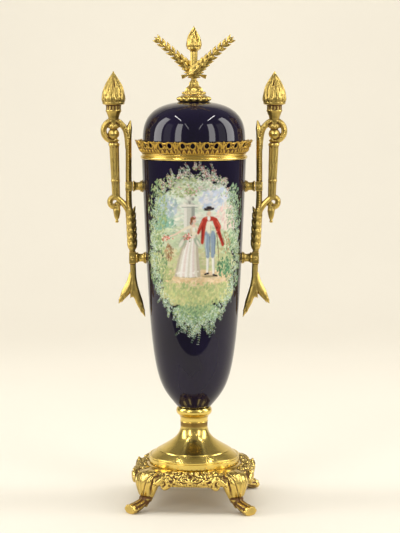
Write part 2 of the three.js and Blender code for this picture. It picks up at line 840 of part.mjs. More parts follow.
// A spool runs from the porcelain, whose curve its end is cut to, to the block on the rod
function boss(height, rodReach) {
  const start = bodyRadiusAt(height - bossFlareRadius) - 2;
  const end = rodReach - blockHalfWidth - clearance;
  const length = end - start;
  const spool = turned([
    [0, 0],
    [bossFlareRadius, 0],
    [bossFlareRadius, 2 + bossLip],
    [bossWaistRadius, 0.6 * length],
    [bossFlareRadius - 1, length - 0.6 * bossLip],
    [bossFlareRadius - 1, length],
    [0, length],
  ], smallSides - 2);
  spool.rotateY(Math.PI / 2).translate(start, 0, height);
  const outline = [];
  for (let step = -2; step <= 2; step += 1) {
    const level = height + (step * (bossFlareRadius + 2)) / 2;
    outline.push([bodyRadiusAt(level) + clearance, level]);
  }
  const porcelain = turned([[0, outline[0][1]], ...outline, [0, outline[4][1]]], roundSides);
  return solidOf(spool).subtract(solidOf(porcelain));
}

// Finishes
const giltBrass = { color: 0xb8862f, roughness: 0.3, metalness: 1 };
const antiqueBrass = { color: 0x9a6f2a, roughness: 0.45, metalness: 1 };
const cobaltPorcelain = { color: 0x0b0a2e, roughness: 0.08, metalness: 0 };

const vase = new THREE.Group();

function place(name, geometry, finish) {
  const mesh = new THREE.Mesh(geometry, new THREE.MeshStandardMaterial(finish));
  mesh.name = name;
  vase.add(mesh);
}

place('footed_base', footedBase(), antiqueBrass);
place('socle', socle(), giltBrass);
place('vase_body', vaseBody(), cobaltPorcelain);
place('rim_ring', rimRing(), giltBrass);
place('gallery', gallery(), antiqueBrass);
place('lid', lid(), cobaltPorcelain);
place('finial_rosette', finialRosette(), giltBrass);
place('finial_torch', finialTorch(), antiqueBrass);

for (const side of ['right', 'left']) {
  const facing = (solid) => geometryOf(side === 'left' ? solid.mirror([1, 0, 0]) : solid);
  place(`handle_${side}`, facing(handle()), antiqueBrass);
  place(`boss_upper_${side}`, facing(boss(upperBossHeight, rodUpperReach)), giltBrass);
  place(`boss_lower_${side}`, facing(boss(lowerBossHeight, rodLowerReach)), giltBrass);
}

export default vase;
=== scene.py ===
import math

import bmesh
import bpy
import numpy as np
from bpy.props import FloatProperty, FloatVectorProperty, IntProperty, PointerProperty
from mathutils import Matrix, Vector


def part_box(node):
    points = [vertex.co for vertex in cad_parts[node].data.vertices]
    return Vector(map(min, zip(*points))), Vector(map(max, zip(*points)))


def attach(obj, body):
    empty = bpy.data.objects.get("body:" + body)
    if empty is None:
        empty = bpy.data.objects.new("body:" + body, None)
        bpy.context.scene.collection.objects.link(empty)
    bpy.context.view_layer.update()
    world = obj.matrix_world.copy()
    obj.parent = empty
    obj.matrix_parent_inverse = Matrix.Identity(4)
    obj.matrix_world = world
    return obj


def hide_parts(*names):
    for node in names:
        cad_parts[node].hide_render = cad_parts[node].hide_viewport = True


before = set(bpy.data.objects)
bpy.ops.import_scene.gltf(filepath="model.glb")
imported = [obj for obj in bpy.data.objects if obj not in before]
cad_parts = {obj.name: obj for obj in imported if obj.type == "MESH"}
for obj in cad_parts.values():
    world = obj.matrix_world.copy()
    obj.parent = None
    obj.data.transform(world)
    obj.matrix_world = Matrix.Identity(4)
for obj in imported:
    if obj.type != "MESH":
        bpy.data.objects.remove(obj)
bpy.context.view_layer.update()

bl_info = {
    "name": "Covered Vase in Brass Mounts",
    "version": (1, 0, 0),
    "blender": (4, 5, 0),
    "location": "3D View > Sidebar > Vase",
    "description": "Dresses a covered porcelain vase and its gilt brass mounts around the packed solids",
    "category": "Add Mesh",
}

MM = 0.001
TURN = 2 * math.pi


def level(node, end):
    """The height of a solid's lowest (0) or highest (1) point, in millimetres."""
    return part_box(node)[end].z / MM


def reach(node):
    """How far a solid reaches along +X, in millimetres."""
    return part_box(node)[1].x / MM


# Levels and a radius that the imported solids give, in millimetres
SOCLE_BOTTOM = level("socle", 0)
COLLAR_TOP = level("socle", 1)
RIM_TOP = level("vase_body", 1)
RING_BOTTOM = level("rim_ring", 0)
GALLERY_BOTTOM = level("gallery", 0)
LID_TOP = level("lid", 1)
ROSETTE_BOTTOM = level("finial_rosette", 0)
ROSETTE_TOP = level("finial_rosette", 1)
TORCH_BOTTOM = level("finial_torch", 0)
TORCH_TOP = level("finial_torch", 1)
HANDLE_TOP = level("handle_right", 1)
UPPER_SPACER = (level("boss_upper_right", 0) + level("boss_upper_right", 1)) / 2
LOWER_SPACER = (level("boss_lower_right", 0) + level("boss_lower_right", 1)) / 2
SHOULDER_RADIUS = reach("vase_body")

# The gap between pieces that touch, and the porcelain's shoulder and neck, in millimetres
GAP = 0.3
BODY_BOTTOM = COLLAR_TOP + GAP
SHOULDER_TOP = RIM_TOP - 6.7
NECK_OUTSIDE = SHOULDER_RADIUS - 2.1
NECK_INSIDE = SHOULDER_RADIUS - 6.1

# The least height of a casting's points above what it stands on, in millimetres
LOWEST = 0.02

# The most triangles that each casting keeps
FINIAL_TRIANGLES = 130000
HANDLE_TRIANGLES = 135000
GALLERY_TRIANGLES = 135000
BASE_TRIANGLES = 165000

# The body's outline, in millimetres: a cubic curve from the collar to the shoulder
BODY_CURVE = (
    (18.8, BODY_BOTTOM),
    (42.3, BODY_BOTTOM + 27.5),
    (46.6, BODY_BOTTOM + 30.5),
    (SHOULDER_RADIUS, SHOULDER_TOP),
)


# Settings

class VaseSizes(bpy.types.PropertyGroup):
    turned_steps: IntProperty(
        name="Turned Steps", description="Facets around a turned piece", default=160, min=24)
    casting_grain: FloatProperty(
        name="Casting Grain", description="Size of the finest form on a casting",
        default=0.00042, unit="LENGTH")
    base_grain: FloatProperty(
        name="Base Grain", description="Size of the finest form on the cast base",
        default=0.0007, unit="LENGTH")
    relief_depth: FloatProperty(
        name="Relief Depth", description="Depth of the flowers and leaves on the base",
        default=0.0020, unit="LENGTH")
    bead_pitch: FloatProperty(
        name="Bead Pitch", description="Distance between the beads down a handle's rod",
        default=0.0026, unit="LENGTH")
    gallery_motifs: IntProperty(
        name="Gallery Motifs", description="Pairs of openings around the gallery", default=15, min=3)
    painting_grain: FloatProperty(
        name="Painting Grain", description="Size of the finest brush mark on the porcelain",
        default=0.0004, unit="LENGTH")


class VaseColours(bpy.types.PropertyGroup):
    cobalt: FloatVectorProperty(
        name="Cobalt", description="Glaze of the body and the lid", subtype="COLOR",
        default=(0.0075, 0.0045, 0.024), min=0, max=1)
    polished_brass: FloatVectorProperty(
        name="Polished Brass", description="Spun pieces", subtype="COLOR",
        default=(0.84, 0.63, 0.17), min=0, max=1)
    cast_brass: FloatVectorProperty(
        name="Cast Brass", description="Cast pieces where they are rubbed bright", subtype="COLOR",
        default=(0.64, 0.465, 0.13), min=0, max=1)
    # Patina with painted shade: the dark brown laid into the recesses and grooves of the brass
    patina_and_shade_colour: FloatVectorProperty(
        name="Patina", description="Dark brown in the recesses of the castings", subtype="COLOR",
        default=(0.13, 0.056, 0.015), min=0, max=1)
    backdrop: FloatVectorProperty(
        name="Backdrop", description="Floor and backdrop", subtype="COLOR",
        default=(0.84, 0.795, 0.695), min=0, max=1)


def sizes():
    return bpy.context.scene.vase_sizes


def colours():
    return bpy.context.scene.vase_colours


# Modelling by operators

def leave_edit_mode():
    if bpy.context.object and bpy.context.object.mode == "EDIT":
        bpy.ops.object.mode_set(mode="OBJECT")


def deselect():
    leave_edit_mode()
    bpy.ops.object.select_all(action="DESELECT")


def in_millimetres(x, y, z):
    return Vector((x, y, z)) * MM


def arc(centre, radius, first, last, count):
    """Points of a round stretch of an outline; angles in degrees from the outward direction."""
    angles = np.radians(np.linspace(first, last, count))
    return [(centre[0] + radius * math.cos(a), centre[1] + radius * math.sin(a)) for a in angles]


def bezier(control, count):
    """Points of a cubic curve."""
    p = np.array(control, float)
    t = np.linspace(0, 1, count)[:, None]
    points = (1 - t) ** 3 * p[0] + 3 * (1 - t) ** 2 * t * p[1] + 3 * (1 - t) * t ** 2 * p[2] + t ** 3 * p[3]
    return [tuple(q) for q in points]


def through(points, count):
    """Points of a smooth curve through a few given ones."""
    p = np.array(points, float)
    p = np.vstack([2 * p[0] - p[1], p, 2 * p[-1] - p[-2]])
    found = []
    for share in np.linspace(0, len(points) - 1, count):
        i = min(int(share), len(points) - 2)
        t = share - i
        a, b, c, d = p[i:i + 4]
        found.append(0.5 * (2 * b + (c - a) * t + (2 * a - 5 * b + 4 * c - d) * t ** 2
                            + (3 * b - a - 3 * c + d) * t ** 3))
    return [tuple(q) for q in found]


BODY_OUTLINE = np.array(bezier(BODY_CURVE, 400))


def body_radius(height):
    """The porcelain's radius at a height, or at each of several, in millimetres."""
    return np.interp(height, BODY_OUTLINE[:, 1], BODY_OUTLINE[:, 0])


def coordinates(piece):
    """The places of a mesh's points, one row for each."""
    flat = np.empty(len(piece.data.vertices) * 3, np.float32)
    piece.data.vertices.foreach_get("co", flat)
    return flat.reshape(-1, 3).astype(float)


def set_coordinates(piece, points):
    piece.data.vertices.foreach_set("co", np.asarray(points, np.float32).ravel())
    piece.data.update()


def turned(outline, steps=None, smooth=40, sectors=None):
    """A form spun about the vase's axis from an outline of (radius, height) in millimetres.

    Sectors, given instead of steps, are pairs of degrees and steps that make up the whole turn from +X on.
    """
    deselect()
    bpy.ops.mesh.primitive_plane_add(size=MM)
    bpy.ops.object.mode_set(mode="EDIT")
    bpy.ops.mesh.merge(type="CENTER")
    here = Vector()
    for i, (radius, height) in enumerate(outline):
        there = in_millimetres(radius, 0, height)
        if i == 0:
            bpy.ops.transform.translate(value=there)
        else:
            bpy.ops.mesh.extrude_region_move(TRANSFORM_OT_translate={"value": there - here})
        here = there
    bpy.ops.mesh.select_all(action="SELECT")
    for degrees, count in sectors or ((360, steps),):
        bpy.ops.mesh.spin(steps=count, angle=math.radians(degrees), center=(0, 0, 0), axis=(0, 0, 1))
    close_surface()
    bpy.ops.object.shade_smooth_by_angle(angle=math.radians(smooth))
    return bpy.context.object


def close_surface():
    """In edit mode: merges seams and poles, turns the faces outwards and leaves edit mode."""
    bpy.ops.mesh.select_all(action="SELECT")
    bpy.ops.mesh.remove_doubles(threshold=0.002 * MM)
    bpy.ops.mesh.normals_make_consistent(inside=False)
    bpy.ops.object.mode_set(mode="OBJECT")


def swept(path, widths, depths, sides):
    """A bar along a path of (x, z) in millimetres: a disc extruded, turned and scaled from step to step.

    A width is half the bar's size along Y and a depth half its size across the path, for each point.
    """
    deselect()
    points = [in_millimetres(x, 0, z) for x, z in path]
    steps = [b - a for a, b in zip(points, points[1:])]
    headings = [math.atan2(step.x, step.z) for step in steps]
    turns = [headings[0]] + [a + wrapped(b - a) / 2 for a, b in zip(headings, headings[1:])] + [headings[-1]]
    bpy.ops.mesh.primitive_circle_add(
        vertices=sides, radius=MM, fill_type="NGON", location=points[0], rotation=(0, turns[0], 0))
    bpy.ops.object.mode_set(mode="EDIT")
    bpy.ops.transform.resize(value=(depths[0], widths[0], depths[0]), center_override=points[0])
    for i, step in enumerate(steps, 1):
        deeper = depths[i] / depths[i - 1]
        wider = widths[i] / widths[i - 1]
        bpy.ops.mesh.extrude_region_move(TRANSFORM_OT_translate={"value": step})
        bpy.ops.transform.rotate(
            value=-wrapped(turns[i] - turns[i - 1]), orient_axis="Y", center_override=points[i])
        bpy.ops.transform.resize(value=(deeper, wider, deeper), center_override=points[i])
    close_surface()
    bpy.ops.object.transform_apply(location=True, rotation=True, scale=True)
    return bpy.context.object


def wrapped(angle):
    """An angle brought between minus and plus half a turn."""
    return (angle + math.pi) % TURN - math.pi


def bead(radius, squash=1.0):
    """A small ball at the origin, pressed a little flat along Y."""
    deselect()
    bpy.ops.mesh.primitive_ico_sphere_add(subdivisions=2, radius=radius * MM)
    bpy.ops.object.mode_set(mode="EDIT")
    bpy.ops.transform.resize(value=(1, squash, 1))
    bpy.ops.object.mode_set(mode="OBJECT")
    return bpy.context.object


def copied(piece, matrix):
    """Another of the same form, with a mesh of its own, moved by a matrix."""
    twin = piece.copy()
    twin.data = piece.data.copy()
    bpy.context.scene.collection.objects.link(twin)
    twin.data.transform(matrix)
    if matrix.determinant() < 0:
        twin.data.flip_normals()
    return twin


def shift(x=0.0, y=0.0, z=0.0):
    return Matrix.Translation(in_millimetres(x, y, z))


def about_z(degrees):
    return Matrix.Rotation(math.radians(degrees), 4, "Z")


def about_y(degrees):
    return Matrix.Rotation(math.radians(degrees), 4, "Y")


def about_x(degrees):
    return Matrix.Rotation(math.radians(degrees), 4, "X")


def moved(piece, matrix):
    piece.data.transform(matrix)
    return piece


def ring(form, count, place=Matrix.Identity(4), first=0.0):
    """Copies of a form at a place, evenly around the vase's axis from a first angle in degrees."""
    return [copied(form, about_z(first + 360 * i / count) @ place) for i in range(count)]


def discard(*pieces):
    """Removes forms that were only there to be copied or cut with."""
    for piece in pieces:
        bpy.data.meshes.remove(piece.data)


def assembled(pieces):
    """Joins forms into one object."""
    deselect()
    for piece in pieces:
        piece.select_set(True)
    bpy.context.view_layer.objects.active = pieces[0]
    bpy.ops.object.join()
    return bpy.context.object


def modified(piece, kind, **settings):
    """Adds a modifier with its settings and applies it."""
    deselect()
    piece.select_set(True)
    bpy.context.view_layer.objects.active = piece
    modifier = piece.modifiers.new(kind.title(), kind)
    for key, value in settings.items():
        setattr(modifier, key, value)
    bpy.ops.object.modifier_apply(modifier=modifier.name)
    return piece


def cast(forms, grain, soften):
    """Fuses overlapping forms into one casting with a skin of small even faces."""
    piece = assembled(forms)
    modified(piece, "REMESH", mode="VOXEL", voxel_size=grain)
    modified(piece, "SMOOTH", factor=0.4, iterations=soften)
    bpy.ops.object.shade_smooth()
    return piece


def thinned(piece, most):
    """Lowers a casting's number of triangles where it has more than it needs."""
    triangles = sum(len(face.vertices) - 2 for face in piece.data.polygons)
    if triangles > most:
        modified(piece, "DECIMATE", ratio=most / triangles)
        bpy.ops.object.shade_smooth()
    return piece


def neighbour_mean(points, edges, count):
    """The mean of each point's neighbours along the edges."""
    total = np.zeros_like(points)
    for axis in range(points.shape[1]):
        total[:, axis] = np.bincount(edges[:, 0], points[edges[:, 1], axis], count)
        total[:, axis] += np.bincount(edges[:, 1], points[edges[:, 0], axis], count)
    number = np.bincount(edges.ravel(), minlength=count)[:, None]
    return total / np.maximum(number, 1)


def store(piece, name, values):
    """Keeps one number for each point of a mesh, for its material."""
    attribute = piece.data.attributes.new(name, "FLOAT", "POINT")
    attribute.data.foreach_set("value", np.asarray(values, np.float32))


def mark_recesses(piece, passes, depth, soil=0.0):
    """Keeps how deep each point lies below those around it: 0.5 when level, 1 in a recess, 0 on a ridge.

    Passes say how wide around is looked, depth is the full depth in millimetres, and soil is added to all.
    """
    mesh = piece.data
    points = coordinates(piece)
    edges = np.empty(len(mesh.edges) * 2, np.int32)
    mesh.edges.foreach_get("vertices", edges)
    edges = edges.reshape(-1, 2)
    normals = np.empty(len(mesh.vertices) * 3, np.float32)
    mesh.vertex_normals.foreach_get("vector", normals)
    calm = points.copy()
    for _ in range(passes):
        calm = neighbour_mean(calm, edges, len(points))
    height = ((points - calm) * normals.reshape(-1, 3)).sum(1)
    value = 0.5 - height / (2 * depth * MM) + soil
    value = neighbour_mean(value[:, None], edges, len(points))[:, 0]
    store(piece, "recess", np.clip(value, 0, 1))


def finished(piece, name, slot, material, *nodes):
    """Names a piece, gives it its finish, hangs it under the root and hides the solids that it stands for."""
    piece.name = name
    piece.data.name = name
    piece.data.materials.clear()
    piece.data.materials.append(material)
    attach(piece, "root")
    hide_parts(*nodes)
    return piece


# Materials

class Value:
    """One socket of a finish, so that shader maths reads as Python."""

    def __init__(self, finish, socket):
        self.finish = finish
        self.socket = socket

    def maths(self, operation, *others):
        return self.finish.node(
            "ShaderNodeMath", {"operation": operation}, dict(enumerate((self, *others))))

    def __add__(self, other):
        return self.maths("ADD", other)

    def __sub__(self, other):
        return self.maths("SUBTRACT", other)

    def __rsub__(self, other):
        return (self * -1).maths("ADD", other)

    def __mul__(self, other):
        return self.maths("MULTIPLY", other)

    __radd__ = __add__
    __rmul__ = __mul__

    def between(self, low, high):
        """0 at or below low, 1 at or above high, and smooth between them."""
        return self.finish.node(
            "ShaderNodeMapRange", {"interpolation_type": "SMOOTHSTEP"},
            {"Value": self, "From Min": low, "From Max": high})


class Finish:
    """A material being made."""

    def __init__(self, name, **constants):
        self.material = bpy.data.materials.new(name)
        self.material.use_nodes = True
        self.tree = self.material.node_tree
        self.shader = self.tree.nodes["Principled BSDF"]
        for socket, value in constants.items():
            self.shader.inputs[socket.replace("_", " ")].default_value = value

    def node(self, kind, settings, sockets, output=0):
        """Adds a node with its settings and inputs, and gives one of its outputs."""
        node = self.tree.nodes.new(kind)
        for key, value in settings.items():
            setattr(node, key, value)
        for key, value in sockets.items():
            if isinstance(value, Value):
                self.tree.links.new(value.socket, node.inputs[key])
            else:
                node.inputs[key].default_value = value
        return Value(self, node.outputs[output])

    def place(self):
        return self.node("ShaderNodeTexCoord", {}, {}, "Object")

    def kept(self, name, output="Fac"):
        """What a mesh keeps for each of its points under a name."""
        return self.node("ShaderNodeAttribute", {"attribute_name": name}, {}, output)

    def noise(self, scale, detail=3.0, stretch=(1, 1, 1)):
        """Noise with patches of about 1 / scale metres, drawn out along an axis by a small stretch."""
        place = self.node("ShaderNodeMapping", {}, {"Vector": self.place(), "Scale": stretch})
        return self.node("ShaderNodeTexNoise", {}, {"Vector": place, "Scale": scale, "Detail": detail})

    def mix(self, factor, one, other, blend="MIX"):
        one, other = [v if isinstance(v, Value) else (*v, 1) for v in (one, other)]
        return self.node(
            "ShaderNodeMix", {"data_type": "RGBA", "blend_type": blend},
            {0: factor, 6: one, 7: other}, 2)

    def bump(self, height, strength, distance):
        return self.node(
            "ShaderNodeBump", {}, {"Height": height, "Strength": strength, "Distance": distance})

    def set(self, **values):
        """Links values to the sockets of the same names and gives the finished material."""
        for socket, value in values.items():
            self.tree.links.new(value.socket, self.shader.inputs[socket.replace("_", " ")])
        return self.material


def shade(colour, factor):
    """A colour times one factor, or times a factor each for its red, green and blue."""
    return tuple(min(1.0, float(c * f)) for c, f in zip(colour, np.broadcast_to(factor, 3)))


def polished_brass(name, roughness):
    """Spun brass: fine turning rings, faint clouds of tarnish and a dark line in each groove, of patina and
    painted shade.
    """
    finish = Finish(name, Metallic=1.0)
    tone = tuple(colours().polished_brass)
    cloud = finish.noise(38, 4.0)
    streak = finish.noise(90, 3.0, (0.12, 0.12, 6.0))
    # Painted shade and patina: each groove goes dark brown, for the oxide in it and the shade that falls
    # there
    groove = finish.kept("recess").between(0.56, 0.95)
    colour = finish.mix(cloud.between(0.35, 0.75), tone, shade(tone, 0.86))
    colour = finish.mix(streak.between(0.5, 0.8) * 0.35, colour, shade(tone, 0.72))
    colour = finish.mix(groove * 0.8, colour, tuple(colours().patina_and_shade_colour))
    rough = roughness + 0.07 * cloud + 0.08 * streak + 0.25 * groove
    rings = finish.noise(1300, 1.0, (0.01, 0.01, 1.0))
    return finish.set(
        Base_Color=colour, Roughness=rough, Normal=finish.bump(rings, 0.12, 0.00012))


def cast_brass(name, brightness, roughness, shade_and_patina_strength=1.0):
    """Cast brass: bright where it is rubbed, brown in its recesses from patina and painted shade, with a fine
    matt skin.
    """
    finish = Finish(name)
    tone = shade(colours().cast_brass, brightness)
    recess = finish.kept("recess")
    cloud = finish.noise(70, 4.0)
    grain = finish.noise(1500, 2.0)
    # Painted shade and patina: recesses go dark brown, less metallic and rougher, for the oxide in them and
    # the shade that falls there
    shade_and_patina = (recess + 0.22 * (cloud - 0.5) + 0.1 * (grain - 0.5)).between(0.53, 0.80) * shade_and_patina_strength
    rubbed = (1 - recess).between(0.52, 0.75)
    colour = finish.mix(cloud.between(0.3, 0.7), tone, shade(tone, 0.66))
    colour = finish.mix(rubbed * 0.75, colour, shade(tone, 1.16))
    colour = finish.mix(shade_and_patina, colour, tuple(colours().patina_and_shade_colour))
    metal = 1 - 0.55 * shade_and_patina
    rough = roughness + 0.12 * cloud - 0.08 * rubbed + 0.3 * shade_and_patina
    return finish.set(
        Base_Color=colour, Metallic=metal, Roughness=rough, Normal=finish.bump(grain, 0.18, 0.0002))


def cobalt_colour(finish):
    """Cobalt that is darker in tall uneven clouds."""
    cobalt = tuple(colours().cobalt)
    flow = finish.noise(26, 2.0, (1, 1, 0.4))
    return finish.mix(flow.between(0.35, 0.7), cobalt, shade(cobalt, 0.55))


def cobalt_glaze(name):
    """Deep cobalt under a clear gloss, a little uneven where it ran."""
    finish = Finish(name, Roughness=0.045, IOR=1.46)
    ripple = finish.noise(22, 1.0)
    return finish.set(Base_Color=cobalt_colour(finish), Normal=finish.bump(ripple, 0.05, 0.0006))


def painted_glaze(name):
    """Cobalt glaze with enamel colours where the picture covers it, less glossy and slightly raised."""
    finish = Finish(name, IOR=1.4)
    cover = finish.kept("picture", "Alpha")
    enamel = finish.kept("picture", "Color")
    mottle = finish.noise(520, 2.0)
    enamel = finish.mix(mottle.between(0.3, 0.75) * 0.22, enamel, (0.75, 0.72, 0.62), "MULTIPLY")
    colour = finish.mix(cover, cobalt_colour(finish), enamel)
    rough = 0.05 + 0.13 * cover
    height = finish.noise(22, 1.0) * 2 + cover * 0.35 + mottle * cover * 0.15
    return finish.set(Base_Color=colour, Roughness=rough, Normal=finish.bump(height, 0.06, 0.0006))


# Painting on the body, in millimetres along the porcelain from the middle of its front and in height

PAINTING_WIDTH = 140
PAINTING_LOW = 172
PAINTING_SEED = 7
PICTURE_MIDDLE = (2, 278)
PICTURE_HALF_WIDTH = 53
PICTURE_HALF_HEIGHT = 84
STEEPEST_SINE = 0.97
BORDER_TOUCHES = 1150
BORDER_SPRAYS = 270
SPRAY_LEAVES = 7


def pigment(red, green, blue):
    """A colour from parts of 255."""
    return np.array([red, green, blue], float) / 255


def front(x, z):
    """The place on the porcelain that is seen x millimetres beside the middle from in front."""
    radius = body_radius(z)
    return radius * math.asin(max(-STEEPEST_SINE, min(STEEPEST_SINE, x / radius))), z


class Canvas:
    """Colour and cover of enamel on a grid of small cells."""

    def __init__(self, width, low, high, cell):
        self.cell = cell
        self.left = -width / 2
        self.low = low
        rows, columns = int((high - low) / cell) + 2, int(width / cell) + 2
        self.colour = np.zeros((rows, columns, 3))
        self.cover = np.zeros((rows, columns))

    def dab(self, place, length, width, degrees, tone, strength=1.0):
        """One touch of the brush: an oval with a soft edge."""
        s, z = place
        span = max(length, width) / 2 + self.cell
        first = [max(0, int((v - span - edge) / self.cell)) for v, edge in ((z, self.low), (s, self.left))]
        last = [int((v + span - edge) / self.cell) + 2 for v, edge in ((z, self.low), (s, self.left))]
        part = (slice(first[0], last[0]), slice(first[1], last[1]))
        cover = self.cover[part]
        if cover.size == 0:
            return
        across = self.left + self.cell * (first[1] + np.arange(cover.shape[1])) - s
        up = self.low + self.cell * (first[0] + np.arange(cover.shape[0])) - z
        turn = math.radians(degrees)
        u = across[None, :] * math.cos(turn) + up[:, None] * math.sin(turn)
        v = up[:, None] * math.cos(turn) - across[None, :] * math.sin(turn)
        share = np.clip(1.7 * (1.1 - (2 * u / length) ** 2 - (2 * v / width) ** 2), 0, 1) * strength
        under = cover * (1 - share)
        total = np.maximum(share + under, 1e-6)
        old = self.colour[part]
        self.colour[part] = (old * under[..., None] + tone * share[..., None]) / total[..., None]
        self.cover[part] = share + under

    def stroke(self, points, widths, tone):
        """A brush stroke through places, from its first to its last width."""
        places = np.array(through([front(*p) for p in points], 5 * len(points)))
        spread = np.linspace(widths[0], widths[1], len(places))
        steps = np.diff(places, axis=0, append=places[-1:] * 2 - places[-2:-1])
        for place, width, step in zip(places, spread, steps):
            length = 1.7 * max(float(np.hypot(*step)), 0.3) + width * 0.7
            self.dab(place, length, width, math.degrees(math.atan2(step[1], step[0])), tone)

    def sampled(self, s, z):
        """Colour and cover at places, blended between the cells."""
        columns = np.clip((s - self.left) / self.cell, 0, self.cover.shape[1] - 1.001)
        rows = np.clip((z - self.low) / self.cell, 0, self.cover.shape[0] - 1.001)
        i, j = rows.astype(int), columns.astype(int)
        di, dj = rows - i, columns - j
        found = 0
        for a, b, share in (
                (0, 0, (1 - di) * (1 - dj)), (0, 1, (1 - di) * dj), (1, 0, di * (1 - dj)), (1, 1, di * dj)):
            cover = self.cover[i + a, j + b] * share
            found = found + np.column_stack([self.colour[i + a, j + b] * cover[:, None], cover])
        return np.column_stack([found[:, :3] / np.maximum(found[:, 3:], 1e-6), found[:, 3]])


# Each mass of the landscape: middle, half width and half height, number of touches, their size and tilt,
# and tones. The first GROUND_MASSES of them, from the sky to the lawn, are also laid as the ground.
GROUND_MASSES = 11
LANDSCAPE = (
    ((4, 320), (35, 28), 560, 7.0, 12, ((222, 230, 214), (208, 222, 202), (232, 232, 216))),
    ((20, 330), (14, 12), 150, 6.0, 20, ((190, 206, 228), (206, 214, 230), (226, 226, 228))),
    ((33, 310), (9, 15), 90, 5.0, 60, ((238, 208, 200), (232, 222, 208))),
    ((-27, 322), (10, 12), 90, 5.0, 70, ((178, 192, 206), (160, 184, 180))),
    ((-29, 300), (10, 12), 110, 5.0, 60, ((130, 176, 156), (156, 190, 166))),
    ((0, 286), (44, 18), 460, 6.0, 8, ((204, 214, 178), (214, 220, 190), (188, 204, 168))),
    ((0, 264), (44, 15), 380, 6.0, 4, ((206, 206, 156), (214, 208, 168), (190, 198, 148))),
    ((3, 212), (22, 11), 320, 3.6, 65, ((150, 178, 130), (176, 194, 146), (120, 152, 116))),
    ((3, 231), (37, 12), 480, 4.2, 70, ((196, 200, 138), (208, 206, 150), (170, 188, 132))),
    ((4, 248), (35, 8), 300, 5.5, 2, ((228, 204, 162), (220, 192, 148), (236, 214, 180))),
    ((2, 239), (37, 4), 170, 3.6, 65, ((196, 200, 138), (214, 204, 156), (160, 180, 124))),
    ((-30, 252), (9, 8), 110, 3.6, 60, ((178, 190, 128), (150, 172, 116), (200, 196, 146))),
    ((-38, 316), (10, 34), 420, 3.2, 50, ((128, 156, 112), (156, 178, 124), (184, 194, 134))),
    ((-38, 264), (10, 28), 400, 3.2, 60, ((136, 162, 112), (168, 184, 124), (104, 136, 98))),
    ((42, 314), (8, 32), 330, 3.2, 60, ((144, 176, 140), (176, 198, 158), (116, 150, 120))),
    ((41, 262), (9, 28), 330, 3.2, 60, ((128, 162, 118), (166, 186, 138), (98, 132, 98))),
    ((5, 347), (31, 9), 420, 2.7, 25, ((170, 190, 158), (206, 212, 196), (150, 172, 134), (222, 206, 200))),
    ((-16, 344), (22, 12), 260, 3.0, 35, ((176, 190, 140), (204, 208, 164), (140, 162, 114))),
    ((31, 258), (8, 10), 170, 3.0, 75, ((84, 140, 100), (120, 166, 120), (64, 112, 84))),
    ((33, 284), (5, 12), 80, 2.8, 84, ((170, 120, 92), (196, 150, 116), (150, 156, 110))),
    ((-26, 274), (5, 9), 80, 3.0, 80, ((176, 138, 100), (196, 160, 120), (140, 104, 78))),
)


def paint_landscape(canvas, chance):
    """Broad opaque touches as a ground, then finer ones over them."""
    for masses, part, scale, roundness in (
            (LANDSCAPE[:GROUND_MASSES], 0.5, 1.9, 0.85), (LANDSCAPE, 1.0, 1.0, 0.45)):
        for (x, z), (half_x, half_z), count, size, tilt, tones in masses:
            for _ in range(int(part * count)):
                angle = chance.uniform(0, TURN)
                out = math.sqrt(chance.uniform(0, 1))
                place = front(x + half_x * out * math.cos(angle), z + half_z * out * math.sin(angle))
                tone = pigment(*tones[chance.integers(len(tones))]) * chance.uniform(0.93, 1.06)
                length = scale * size * chance.uniform(0.6, 1.2)
                width = roundness * length * chance.uniform(0.75, 1.2)
                canvas.dab(place, length, width, tilt + chance.normal(0, 22), tone, 0.9)


def paint_urn(canvas, chance):
    """A stone urn with a plant on a square pillar."""
    stone, light, shadow = pigment(206, 206, 194), pigment(234, 232, 222), pigment(158, 162, 154)
    for i, tone in enumerate((light, light, stone, stone, stone, shadow, shadow)):
        x = -9.5 + 1.6 * i
        canvas.stroke([(x, 323), (x, 298)], (2.0, 2.0), tone)
    canvas.stroke([(-12, 323.6), (3.4, 323.6)], (2.2, 2.2), light)
    canvas.stroke([(-11, 321.8), (2.6, 321.8)], (1.1, 1.1), shadow)
    canvas.stroke([(-7, 325.8), (-1.4, 325.8)], (1.9, 1.9), stone)
    canvas.stroke([(-4.3, 326), (-4.3, 329)], (2.6, 3.2), shadow)
    canvas.dab(front(-4.3, 331), 10.5, 6, 0, stone)
    canvas.dab(front(-6.4, 331.6), 4.5, 4.2, 0, light)
    canvas.dab(front(-0.9, 330.6), 3.4, 3.8, 0, shadow)
    canvas.stroke([(-10.2, 334.4), (1.6, 334.4)], (1.7, 1.7), light)
    for _ in range(60):
        place = front(-4.3 + chance.normal(0, 4), 338 + chance.normal(0, 2.6))
        tone = pigment(*((124, 148, 96), (168, 184, 124), (222, 168, 172))[chance.integers(3)])
        canvas.dab(place, 2.4, 1.2, chance.uniform(0, 180), tone)


